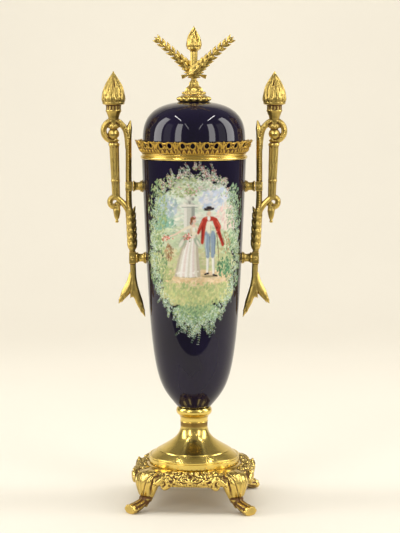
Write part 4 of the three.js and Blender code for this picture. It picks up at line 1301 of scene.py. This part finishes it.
def dress_handles():
    """The right handle is modelled and the left one is its mirror image."""
    path = handle_rod_path()
    count = len(path)
    taper = [1.0 if i < count - 4 else (count - i) / 4.6 for i in range(count)]
    forms = [swept(path, [3.4 * t for t in taper], [3.35 * t for t in taper], 10)]
    bud = bead(1.15, 0.9)
    pitch = sizes().bead_pitch / MM
    # Beads on the rod's front and back, but not across the upper block
    for z in np.arange(LOWER_SPACER + 44, UPPER_SPACER + 52, pitch):
        if abs(z - UPPER_SPACER) > 6:
            forms += [copied(bud, shift(rod_reach(z), side * 3.2, z)) for side in (-1, 1)]
    discard(bud)
    forms.append(moved(handle_torch_head(), shift(TORCH_X, 0, 0)))
    forms += handle_scrolls() + handle_tube() + handle_leaves() + handle_blocks()
    right = thinned(cast(forms, sizes().casting_grain, 1), HANDLE_TRIANGLES)
    mark_recesses(right, 9, 0.4)
    left = copied(right, Matrix.Scale(-1, 4, (1, 0, 0)))
    finish = cast_brass("handle_brass", 0.92, 0.3)
    finished(right, "cast_handle_right", "gilt_brass", finish, "handle_right")
    finished(left, "cast_handle_left", "gilt_brass", finish, "handle_left")


# Gallery, laid out flat at a mean radius and then bent around the lid, in millimetres

GALLERY_RADIUS = 59.0
OPENING_HEIGHT = 8.7
WAVED_FROM = 8


def flare_radius(height):
    """The gallery's outer radius at a height above its foot, in millimetres."""
    return np.interp(height, (0, 2.3, 5, 9, 11.6, 13.7, 15), (56.2, 57.3, 58.7, 60.0, 61.2, 62.9, 63.4))


def gallery_sector(width):
    """One motif of the gallery, laid out flat and facing -Y: two openings, a trefoil, an arch and a fan."""
    half = width / 2
    offset = 0.205 * width
    openings = [in_millimetres(side * offset, 0, OPENING_HEIGHT) for side in (-1, 1)]
    upright = (math.pi / 2, 0, 0)
    middle = in_millimetres(0, 0.65, 6.3)
    deselect()
    bpy.ops.mesh.primitive_cube_add(size=MM, location=middle)
    band = bpy.context.object
    bpy.ops.object.mode_set(mode="EDIT")
    bpy.ops.transform.resize(value=(width + 0.4, 1.2, 12.4), center_override=middle)
    bpy.ops.mesh.subdivide(number_cuts=15)
    bpy.ops.object.mode_set(mode="OBJECT")
    bpy.ops.object.transform_apply(location=True, rotation=True, scale=True)
    for place in openings:
        deselect()
        bpy.ops.mesh.primitive_cylinder_add(
            vertices=20, radius=2.55 * MM, depth=8 * MM, location=place, rotation=upright)
        drill = bpy.context.object
        modified(band, "BOOLEAN", operation="DIFFERENCE", object=drill, solver="EXACT")
        discard(drill)
    forms = [band]
    for place in openings:
        deselect()
        bpy.ops.mesh.primitive_torus_add(
            major_radius=2.9 * MM, minor_radius=0.55 * MM, major_segments=24, minor_segments=8,
            location=place, rotation=upright)
        bpy.ops.object.transform_apply(location=True, rotation=True, scale=True)
        forms.append(bpy.context.object)
    bud = bead(1.05, 0.9)
    forms += [copied(bud, shift(x, -0.5, z)) for x, z in ((0, 8.1), (-1.35, 6.3), (1.35, 6.3))]
    arch = through([
        (-half + 1.8, 3.6), (-half + 1.9, 8.5), (-offset - 0.4, 12.2), (0, 11.0), (offset + 0.4, 12.2),
        (half - 1.9, 8.5), (half - 1.8, 3.6)], 30)
    forms.append(moved(swept(arch, [0.75] * 30, [0.6] * 30, 8), shift(0, -0.25, 0)))
    lobe = blade(6.6, 0.95, 0.75, 0.2)
    for turn, scale in ((-44, 0.72), (-22, 0.95), (0, 1.12), (22, 0.95), (44, 0.72)):
        forms.append(copied(lobe, shift(half, -0.35, 5.6) @ about_y(turn) @ Matrix.Scale(scale, 4)))
    tip = bead(1.1, 0.8)
    forms.append(copied(tip, shift(half, 0.1, 13.0)))
    leaves = 9
    for i in range(leaves):
        x = (i + 0.5) * width / leaves - half
        lean = about_y(20 if i % 2 else -20)
        forms.append(copied(lobe, shift(x, -0.3, 0.9) @ lean @ Matrix.Diagonal((0.95, 1, 0.6, 1))))
    discard(bud, lobe, tip)
    forms.append(swept([(-half - 0.2, 0.6), (0, 0.6), (half + 0.2, 0.6)], [0.8] * 3, [0.6] * 3, 8))
    return assembled(forms)


def dress_gallery():
    """The motifs side by side around the lid, flared outwards, with a slightly waved top."""
    count = sizes().gallery_motifs
    width = TURN * GALLERY_RADIUS / count
    sector = gallery_sector(width)
    flat = coordinates(sector)
    height = np.minimum(flat[:, 2] / MM, 14.0)
    radius = np.minimum(flare_radius(height) - flat[:, 1] / MM - 0.35, 62.7) * MM
    wave = 1 - 0.035 * np.cos(TURN * flat[:, 0] / (width * MM) * 2)
    rise = GALLERY_BOTTOM + np.clip(height * np.where(height > WAVED_FROM, wave, 1), LOWEST, 13.62)
    forms = []
    for i in range(count):
        angle = flat[:, 0] / (GALLERY_RADIUS * MM) + TURN * i / count + math.radians(6)
        twin = copied(sector, Matrix.Identity(4))
        set_coordinates(twin, np.stack([-radius * np.sin(angle), -radius * np.cos(angle), rise * MM], 1))
        forms.append(twin)
    discard(sector)
    piece = cast(forms, sizes().casting_grain, 1)
    bpy.ops.object.mode_set(mode="EDIT")
    bpy.ops.mesh.select_all(action="SELECT")
    bpy.ops.mesh.normals_make_consistent(inside=False)
    bpy.ops.object.mode_set(mode="OBJECT")
    piece = thinned(piece, GALLERY_TRIANGLES)
    mark_recesses(piece, 8, 0.22)
    finish = cast_brass("gallery_brass", (0.84, 0.74, 0.5), 0.38)
    return finished(piece, "cast_gallery", "gilt_brass", finish, "gallery")


# Footed base, in millimetres: seen from above it is a round plate that swells to a corner over each leg

BASE_HEIGHT = SOCLE_BOTTOM - GAP
SKIRT_EDGE = BASE_HEIGHT - 14.4
LEG_TOP = 41.5
FACE_RADIUS = 64.5
CORNER_RADIUS = 71
PLATE_RADIUS = 50

# The base's turn against the vase's front, in degrees
BASE_TURN = -3.5

# The length along a face that goes with one radian
FACE_ARC = 66

# The height of a scroll's eye above the skirt's edge
SCROLL_EYE = 3.8


def plan_radius(angle):
    """The skirt's radius at an angle from the middle of a face, in radians."""
    return FACE_RADIUS + (CORNER_RADIUS - FACE_RADIUS) * np.sin(2 * angle) ** 2


def skirt():
    """The flat plate and the hollow moulding that falls from it."""
    top = BASE_HEIGHT
    edge = SKIRT_EDGE
    outer = through([
        (62.7, edge), (64.3, edge + 2.2), (64.4, edge + 5), (62.9, edge + 8.2), (59.6, edge + 11),
        (54.6, edge + 13.2), (PLATE_RADIUS, top)], 24)
    inner = [(0, top), (0, top - 4), (45, top - 4), (57.2, edge + 7), (58, edge)]
    piece = turned([(58, edge)] + outer + inner, sizes().turned_steps)
    points = coordinates(piece) / MM
    radius = np.hypot(points[:, 0], points[:, 1])
    angle = np.arctan2(points[:, 0], -points[:, 1])
    share = np.clip((radius - PLATE_RADIUS) / (FACE_RADIUS - PLATE_RADIUS - 4), 0, 1)
    radius = radius + (plan_radius(angle) - FACE_RADIUS) * share
    set_coordinates(piece, np.stack([radius * np.sin(angle), -radius * np.cos(angle), points[:, 2]], 1) * MM)
    return piece


def leg():
    """A leaf-clad leg and its flared foot, modelled along +X."""
    thigh = through([
        (52, 40.5), (61, 40.8), (68.5, 38), (71.6, 32), (71.2, 24), (69.4, 16), (69.6, 10), (72, 6)], 22)
    shares = np.linspace(0, 1, 22)
    widths = np.interp(
        shares, (0, 0.14, 0.32, 0.45, 0.62, 0.78, 0.9, 1), (6, 11.5, 13, 12.6, 10, 7.6, 6, 5.5))
    depths = np.interp(shares, (0, 0.2, 0.5, 0.8, 1), (2.5, 4.0, 4.4, 4.6, 4))
    forms = [swept(thigh, list(widths), list(depths), 16)]
    sole = through([(68.5, 11), (74, 8.6), (82, 5.6), (90.7, 4.5)], 9)
    broad = np.interp(np.linspace(0, 1, 9), (0, 0.3, 0.75, 1), (5.4, 6.2, 8.2, 8.3))
    deep = np.interp(np.linspace(0, 1, 9), (0, 0.3, 0.75, 1), (4.6, 4.4, 5.4, 5.2))
    forms.append(swept(sole, list(broad), list(deep), 8))
    spur = blade(9, 2.6, 1.6, 0.6)
    for side in (-1, 1):
        forms.append(copied(spur, shift(63, side * 8.5, 37.5) @ about_x(-66 * side) @ about_y(28)))
    discard(spur)
    whole = assembled(forms)
    bpy.ops.object.mode_set(mode="EDIT")
    bpy.ops.mesh.select_all(action="SELECT")
    bpy.ops.mesh.bisect(plane_co=(0, 0, 0), plane_no=(0, 0, 1), clear_inner=True, use_fill=True)
    bpy.ops.object.mode_set(mode="OBJECT")
    return whole


def volute():
    """A scroll that springs from the leg and curls under the skirt, laid out flat and facing -Y."""
    eye = SKIRT_EDGE + SCROLL_EYE
    path = through(
        [(47, 10.5), (44, 17), (40.8, 24), (37.6, 30), (33.4, 32.6)]
        + arc((28.6, eye), 5.3, 100, 265, 7) + arc((28.8, eye), 2.4, 280, 420, 4), 40)
    shares = np.linspace(0, 1, 40)
    strap = np.interp(shares, (0, 0.12, 0.3, 0.6, 1), (1.5, 3.0, 3.6, 2.9, 1.7))
    depth = np.interp(shares, (0, 0.3, 1), (2.6, 4.8, 4.0))
    bud = moved(bead(1.9, 1.4), shift(28.4, -1.8, eye))
    return assembled([swept(path, list(depth), list(strap), 10), bud])


def on_skirt(piece, face):
    """Bends a flat form around the skirt on one of the four faces."""
    flat = coordinates(piece) / MM
    angle = flat[:, 0] / FACE_ARC
    radius = plan_radius(angle) - 1.9 - flat[:, 1] - 0.10 * np.maximum(31 - flat[:, 2], 0)
    angle = angle + math.radians(90 * face)
    set_coordinates(piece, np.stack([radius * np.sin(angle), -radius * np.cos(angle), flat[:, 2]], 1) * MM)
    return piece


def petals(along, across, x, y, size, count, turn=0.0):
    """Height of a flower with round petals at a place, from 0 to 1."""
    u, v = (along - x) / size, (across - y) / size
    distance = np.hypot(u, v)
    rim = 0.80 + 0.20 * np.cos(count * (np.arctan2(v, u) - turn))
    body = np.sqrt(np.clip(1 - (distance / rim) ** 2, 0, 1))
    seam = 0.3 * np.clip(-np.cos(count * (np.arctan2(v, u) - turn)), 0, 1) * (distance > 0.25)
    bud = np.sqrt(np.clip(1 - (distance / 0.28) ** 2, 0, 1)) * 0.35
    return np.clip(0.85 * body - seam, 0, 1) + bud


def leaflet(along, across, x, y, length, width, degrees):
    """Height of a veined leaf from its foot at a place, from 0 to 1."""
    turn = math.radians(degrees)
    u = ((along - x) * math.cos(turn) + (across - y) * math.sin(turn)) / length
    v = (-(along - x) * math.sin(turn) + (across - y) * math.cos(turn)) / width
    rim = np.sin(np.pi * np.clip(u, 0, 1) ** 0.7)
    body = np.sqrt(np.clip(1 - (v / np.maximum(rim, 0.02)) ** 2, 0, 1)) * ((u > 0) & (u < 1))
    vein = 0.42 * np.exp(-(v / 0.16) ** 2)
    return np.clip(body - vein * body, 0, 1)


# Flowers on one face: place along the skirt and down from the plate's rim, radius and number of petals
FLOWERS = (
    (0, 16.4, 6.2, 6), (-15.5, 15.8, 4.6, 5), (15.8, 15.6, 4.7, 5), (-8.2, 7.4, 4.2, 5), (8.6, 7.0, 4.0, 5),
    (-22.5, 8.0, 3.9, 5), (23.0, 8.4, 3.8, 5), (0.5, 3.8, 2.8, 5), (-15, 2.8, 2.5, 5), (15.6, 3.0, 2.6, 5),
    (-31, 3.6, 2.8, 5), (31, 3.4, 2.8, 5),
)

# Leaves on one half of a face, mirrored on the other: place of the foot, length, half width and angle
LEAVES = (
    (4.6, 16.2, 7.6, 1.9, -14), (4.4, 19.6, 7.4, 1.6, 12), (11.6, 13.2, 6.4, 1.7, 196),
    (19, 15, 7.4, 1.9, -30), (18.6, 19.6, 6, 1.6, 8), (10.6, 6.4, 6.2, 1.7, 40),
    (12.2, 10.6, 6.6, 1.7, -18), (18.6, 7.0, 6.0, 1.6, 200), (25.2, 6.0, 6.4, 1.7, -10),
    (25.4, 12.2, 6.4, 1.7, 28), (2.8, 7.6, 5.4, 1.5, 64), (5.0, 2.4, 6.4, 1.5, 4),
    (18.6, 2.4, 6.4, 1.5, 6), (34, 5.4, 5.6, 1.5, 20), (13.4, 19.4, 4.6, 1.3, 190),
    (2.2, 11.2, 5.0, 1.5, 8),
)


def skirt_relief(along, across):
    """Height of the flowers, leaves and beads; across runs from the plate's rim to the lower edge."""
    height = np.zeros_like(along)
    for x, y, size, count in FLOWERS:
        height = np.maximum(height, petals(along, across, x, y, size, count, 0.4 * x))
    for side in (-1, 1):
        for x, y, length, width, degrees in LEAVES:
            heading = degrees if side > 0 else 180 - degrees
            height = np.maximum(height, 0.85 * leaflet(along, across, side * x, y, length, width, heading))
    for i in range(-9, 10):
        height = np.maximum(height, 0.8 * petals(along, across, 2.55 * i, 22.2, 1.25, 1))
    return height


def carve_base(piece):
    """Raises the relief on the skirt and the veins of the corner leaves by moving the casting's skin."""
    points = coordinates(piece) / MM
    normals = np.empty(len(points) * 3, np.float32)
    piece.data.vertex_normals.foreach_get("vector", normals)
    normals = normals.reshape(-1, 3).astype(float)
    level_at = points[:, 2]
    radius = np.hypot(points[:, 0], points[:, 1])
    angle = np.arctan2(points[:, 0], -points[:, 1])
    local = angle - np.round(angle / (math.pi / 2)) * math.pi / 2
    outwards = (points[:, 0] * normals[:, 0] + points[:, 1] * normals[:, 1]) / np.maximum(radius, 1)

    # Where the relief lies on the skirt: not under it, not on the plate, the legs or the scrolls
    along = local * FACE_ARC
    swell = plan_radius(local) - FACE_RADIUS
    run = (radius - swell * np.clip((radius - PLATE_RADIUS) / 10, 0, 1)) - level_at
    across = np.interp(run, (7, 21, 31.4, 35.2), (0, 10.8, 18.3, 23.6))
    outer = np.clip((np.maximum(outwards, normals[:, 2]) - 0.1) / 0.2, 0, 1)
    outer *= (level_at > SKIRT_EDGE + 0.2) * np.clip((radius - PLATE_RADIUS + 1.5) / 1.2, 0, 1)
    on_leg = np.clip((np.abs(along) - 36.5) / 2.5, 0, 1) * (level_at < LEG_TOP)
    on_scroll = np.hypot(np.abs(along) - 29, level_at - SKIRT_EDGE - 3.2) < 6.4
    relief = (skirt_relief(along, across) - 0.45) * outer * (1 - on_leg) * (1 - on_scroll)

    # The corner leaf: a rib down its middle and a groove and a fold along its edges
    side = (math.pi / 4 - np.abs(local)) * radius
    edge = 1.5 + 8.2 * np.clip((level_at - 15) / 23, 0, 1)
    fold = np.clip((side - edge) / 0.8, 0, 1)
    groove = np.exp(-((side - edge) / 0.75) ** 2)
    rib = np.exp(-side ** 2)
    leafy = (radius > 62) * np.clip((13.5 - side) / 2, 0, 1) * (level_at > 14)
    leafy = leafy * np.clip((outwards - 0.1) / 0.3, 0, 1)

    # The foot: a ring at the ankle, flutes down the toe and a groove across its end
    ankle = np.exp(-((level_at - 15.5) / 1.1) ** 2) * (radius > 60) * (side < 9)
    toe = (radius > 73) * (level_at < 15) * np.clip((normals[:, 2] + 0.1) / 0.3, 0, 1)
    toe = toe * (0.5 * np.cos(TURN * side / 4.4) - 0.9 * np.exp(-((radius - 86.2) / 0.8) ** 2))

    depth = sizes().relief_depth / MM
    move = relief * depth + 0.8 * toe + leafy * (0.45 * rib - groove - 0.45 * fold) - 0.9 * ankle
    points += normals * move[:, None]
    points[:, 2] = np.maximum(points[:, 2], LOWEST)
    set_coordinates(piece, points * MM)


def dress_base():
    """The skirt on its four legs and eight scrolls, with the relief carved into the fused skin."""
    forms = [skirt()]
    one_leg = leg()
    scroll = volute()
    for face in range(4):
        forms.append(copied(one_leg, about_z(90 * face - 45)))
        for side in (-1, 1):
            forms.append(on_skirt(copied(scroll, Matrix.Scale(side, 4, (1, 0, 0))), face))
    discard(one_leg, scroll)
    piece = cast(forms, sizes().base_grain, 1)
    carve_base(piece)
    piece = thinned(piece, BASE_TRIANGLES)
    points = coordinates(piece) / MM
    radius = np.hypot(points[:, 0], points[:, 1])
    toe = (radius > 66) * (radius < 86) * (points[:, 2] < 16) * (points[:, 2] > 1)
    mark_recesses(piece, 9, 0.46, 0.36 * toe)
    moved(piece, about_z(BASE_TURN))
    return finished(piece, "cast_base", "gilt_brass", cast_brass("base_brass", 1.1, 0.2), "footed_base")


# Stage, in metres and degrees

IMAGE_HEIGHT = 533
FOCAL_PIXELS = 1750
CAMERA_PLACE = (0.0064, -1.856, 0.461)
CAMERA_TILT = 6.35
FLOOR_WIDTH = 5
FLOOR_DEPTH_SHARE = 0.54
FLOOR_MIDDLE = (0, 0.95, 0)
BACKDROP_HEIGHT = 2.6
BACKDROP_BEND = 1.1
WORLD_TINT = (1.0, 0.95, 0.86, 1)
WORLD_STRENGTH = 0.25
LAMP_TINT = (1.0, 0.985, 0.955)
WINDOW_DISTANCE = 1.7
EYE_LEVEL = 0.2

# Each window: name, degrees from the camera's direction, lowest and highest elevation, width, brightness
WINDOWS = (
    ("left_inner", -35, 4, 42, 14, 5.0),
    ("left_dim", -62, 4, 38, 18, 0.5),
    ("left_outer", -88, 4, 51, 22, 5.2),
    ("right_inner", 41, 4, 41, 14, 5.0),
    ("right_dim", 66, 4, 38, 18, 0.5),
    ("right_outer", 90, 4, 51, 22, 5.2),
)

# Ceiling tubes that the dome mirrors as thin lines: name, place, length and brightness
TUBE_WIDTH = 0.035
TUBES = (
    ("tube_left", (-0.80, -0.50, 1.9), 1.0, 36),
    ("tube_right", (0.86, -0.42, 1.9), 1.0, 36),
    ("far_tube_left", (-0.72, -2.6, 1.9), 1.9, 15),
    ("far_tube_right", (0.72, -2.6, 1.9), 1.9, 15),
)

# Wide soft lights that no surface mirrors: name, place, what they point at, size and brightness
SOFTBOXES = (
    ("overhead", (0, 0.1, 2.3), (0, 0, 0.2), (2.4, 2.4), 1.14),
    ("backdrop_light", (0, 0.4, 2.0), (0, 1.9, 0.6), (3.4, 1.2), 1.16),
    ("front_fill", (0, -1.8, 0.8), (0, 0, 0.1), (2.0, 0.8), 0.45),
)


def select_edges(piece, chosen):
    """In edit mode: selects the edges that pass a test and nothing else."""
    bpy.ops.mesh.select_all(action="DESELECT")
    sheet = bmesh.from_edit_mesh(piece.data)
    for edge in sheet.edges:
        if chosen(edge):
            edge.select_set(True)
    bmesh.update_edit_mesh(piece.data)


def make_camera():
    """The camera that matches the photo, and its plain colour transform."""
    camera = bpy.data.cameras.new("camera")
    camera.lens = camera.sensor_width * FOCAL_PIXELS / IMAGE_HEIGHT
    viewpoint = bpy.data.objects.new("camera", camera)
    viewpoint.location = CAMERA_PLACE
    viewpoint.rotation_euler = (math.radians(90 - CAMERA_TILT), 0, 0)
    bpy.context.scene.collection.objects.link(viewpoint)
    bpy.context.scene.camera = viewpoint
    bpy.context.scene.view_settings.view_transform = "Standard"


def make_floor():
    """A pale floor that bends up into the backdrop."""
    deselect()
    bpy.ops.mesh.primitive_plane_add(size=FLOOR_WIDTH, location=FLOOR_MIDDLE)
    floor = bpy.context.object
    bpy.ops.object.mode_set(mode="EDIT")
    bpy.ops.transform.resize(value=(1, FLOOR_DEPTH_SHARE, 1))
    bpy.ops.mesh.select_mode(type="EDGE")
    select_edges(floor, lambda edge: all(v.co.y > 1 for v in edge.verts))
    bpy.ops.mesh.extrude_region_move(TRANSFORM_OT_translate={"value": (0, 0, BACKDROP_HEIGHT)})
    select_edges(floor, lambda edge: len(edge.link_faces) == 2)
    bpy.ops.mesh.bevel(offset=BACKDROP_BEND, segments=24, affect="EDGES")
    bpy.ops.mesh.select_mode(type="VERT")
    bpy.ops.object.mode_set(mode="OBJECT")
    bpy.ops.object.shade_smooth()
    bpy.ops.object.transform_apply(location=True, rotation=True, scale=True)
    floor.name = "floor_and_backdrop"
    paper = Finish("backdrop_paper", Roughness=0.8)
    tone = tuple(colours().backdrop)
    floor.data.materials.append(paper.set(
        Base_Color=paper.mix(paper.noise(2.5).between(0.3, 0.7), tone, shade(tone, 0.985))))


def lamp(name, size, brightness):
    """A rectangular light whose surface is equally bright at any size."""
    light = bpy.data.lights.new(name, "AREA")
    light.shape = "RECTANGLE"
    light.size, light.size_y = size
    light.energy = brightness * math.pi * size[0] * size[1]
    light.color = LAMP_TINT
    holder = bpy.data.objects.new(name, light)
    bpy.context.scene.collection.objects.link(holder)
    return holder


def aimed(holder, place, target):
    """Puts a light at a place and points it at a target."""
    holder.location = place
    direction = Vector(target) - Vector(place)
    holder.rotation_euler = direction.to_track_quat("-Z", "Y").to_euler()
    return holder


def window(name, azimuth, low, high, width, brightness):
    """A tall bright panel that the glaze mirrors, upright around the vase."""
    bottom = WINDOW_DISTANCE * math.tan(math.radians(low)) + EYE_LEVEL
    top = WINDOW_DISTANCE * math.tan(math.radians(high)) + EYE_LEVEL
    across = 2 * WINDOW_DISTANCE * math.tan(math.radians(width / 2))
    angle = math.radians(azimuth)
    middle = (bottom + top) / 2
    place = (WINDOW_DISTANCE * math.sin(angle), -WINDOW_DISTANCE * math.cos(angle), middle)
    aimed(lamp(name, (across, top - bottom), brightness), place, (0, 0, middle))


def make_lights():
    """A dim warm world, the windows and tubes that the glaze mirrors, and the soft lights."""
    world = bpy.data.worlds.new("studio")
    world.use_nodes = True
    world.node_tree.nodes["Background"].inputs["Color"].default_value = WORLD_TINT
    world.node_tree.nodes["Background"].inputs["Strength"].default_value = WORLD_STRENGTH
    bpy.context.scene.world = world
    for name, azimuth, low, high, width, brightness in WINDOWS:
        window(name, azimuth, low, high, width, brightness)
    for name, place, length, brightness in TUBES:
        tube = lamp(name, (TUBE_WIDTH, length), brightness)
        tube.location = place
        tube.visible_diffuse = False
    for name, place, target, size, brightness in SOFTBOXES:
        softbox = aimed(lamp(name, size, brightness), place, target)
        softbox.visible_glossy = False
        softbox.visible_camera = False


# Operators and panel

class Maker:
    """What the operators share: each one calls its own functions in turn."""

    def execute(self, context):
        for make in self.makes:
            make()
        return {"FINISHED"}


class VASE_OT_stage(Maker, bpy.types.Operator):
    """Make the camera, the pale floor with its backdrop, and the soft lights"""
    bl_idname = "vase.stage"
    bl_label = "Stage"
    makes = (make_camera, make_floor, make_lights)


class VASE_OT_body(Maker, bpy.types.Operator):
    """Make the porcelain body"""
    bl_idname = "vase.body"
    bl_label = "Porcelain Body"
    makes = (dress_vase_body,)


class VASE_OT_lid(Maker, bpy.types.Operator):
    """Make the porcelain lid"""
    bl_idname = "vase.lid"
    bl_label = "Porcelain Lid"
    makes = (dress_lid,)


class VASE_OT_turned_brass(Maker, bpy.types.Operator):
    """Make the spun socle, the rim ring and the four spacers"""
    bl_idname = "vase.turned_brass"
    bl_label = "Turned Brass"
    makes = (dress_socle, dress_rim_ring, dress_spacers)


class VASE_OT_finial(Maker, bpy.types.Operator):
    """Make the rosette and the torch with its laurel branches"""
    bl_idname = "vase.finial"
    bl_label = "Finial"
    makes = (dress_rosette, dress_finial_torch)


class VASE_OT_handles(Maker, bpy.types.Operator):
    """Make the two torch handles"""
    bl_idname = "vase.handles"
    bl_label = "Torch Handles"
    makes = (dress_handles,)


class VASE_OT_gallery(Maker, bpy.types.Operator):
    """Make the pierced gallery around the lid"""
    bl_idname = "vase.gallery"
    bl_label = "Pierced Gallery"
    makes = (dress_gallery,)


class VASE_OT_base(Maker, bpy.types.Operator):
    """Make the cast base with its relief, legs and scrolls"""
    bl_idname = "vase.base"
    bl_label = "Footed Base"
    makes = (dress_base,)


MAKERS = (
    VASE_OT_stage, VASE_OT_body, VASE_OT_lid, VASE_OT_turned_brass, VASE_OT_gallery, VASE_OT_finial,
    VASE_OT_handles, VASE_OT_base)


class VASE_PT_makers(bpy.types.Panel):
    """Sizes, colours and the makers of all pieces"""
    bl_idname = "VASE_PT_makers"
    bl_label = "Covered Vase"
    bl_space_type = "VIEW_3D"
    bl_region_type = "UI"
    bl_category = "Vase"

    def draw(self, context):
        for group in (context.scene.vase_sizes, context.scene.vase_colours):
            for key in group.__annotations__:
                self.layout.prop(group, key)
        for maker in MAKERS:
            self.layout.operator(maker.bl_idname)


CLASSES = (VaseSizes, VaseColours, *MAKERS, VASE_PT_makers)


def register():
    for item in CLASSES:
        bpy.utils.register_class(item)
    bpy.types.Scene.vase_sizes = PointerProperty(type=VaseSizes)
    bpy.types.Scene.vase_colours = PointerProperty(type=VaseColours)


def unregister():
    del bpy.types.Scene.vase_colours
    del bpy.types.Scene.vase_sizes
    for item in reversed(CLASSES):
        bpy.utils.unregister_class(item)


def main():
    register()
    bpy.ops.vase.stage()
    bpy.ops.vase.body()
    bpy.ops.vase.lid()
    bpy.ops.vase.turned_brass()
    bpy.ops.vase.gallery()
    bpy.ops.vase.finial()
    bpy.ops.vase.handles()
    bpy.ops.vase.base()


if __name__ == "__main__":
    main()
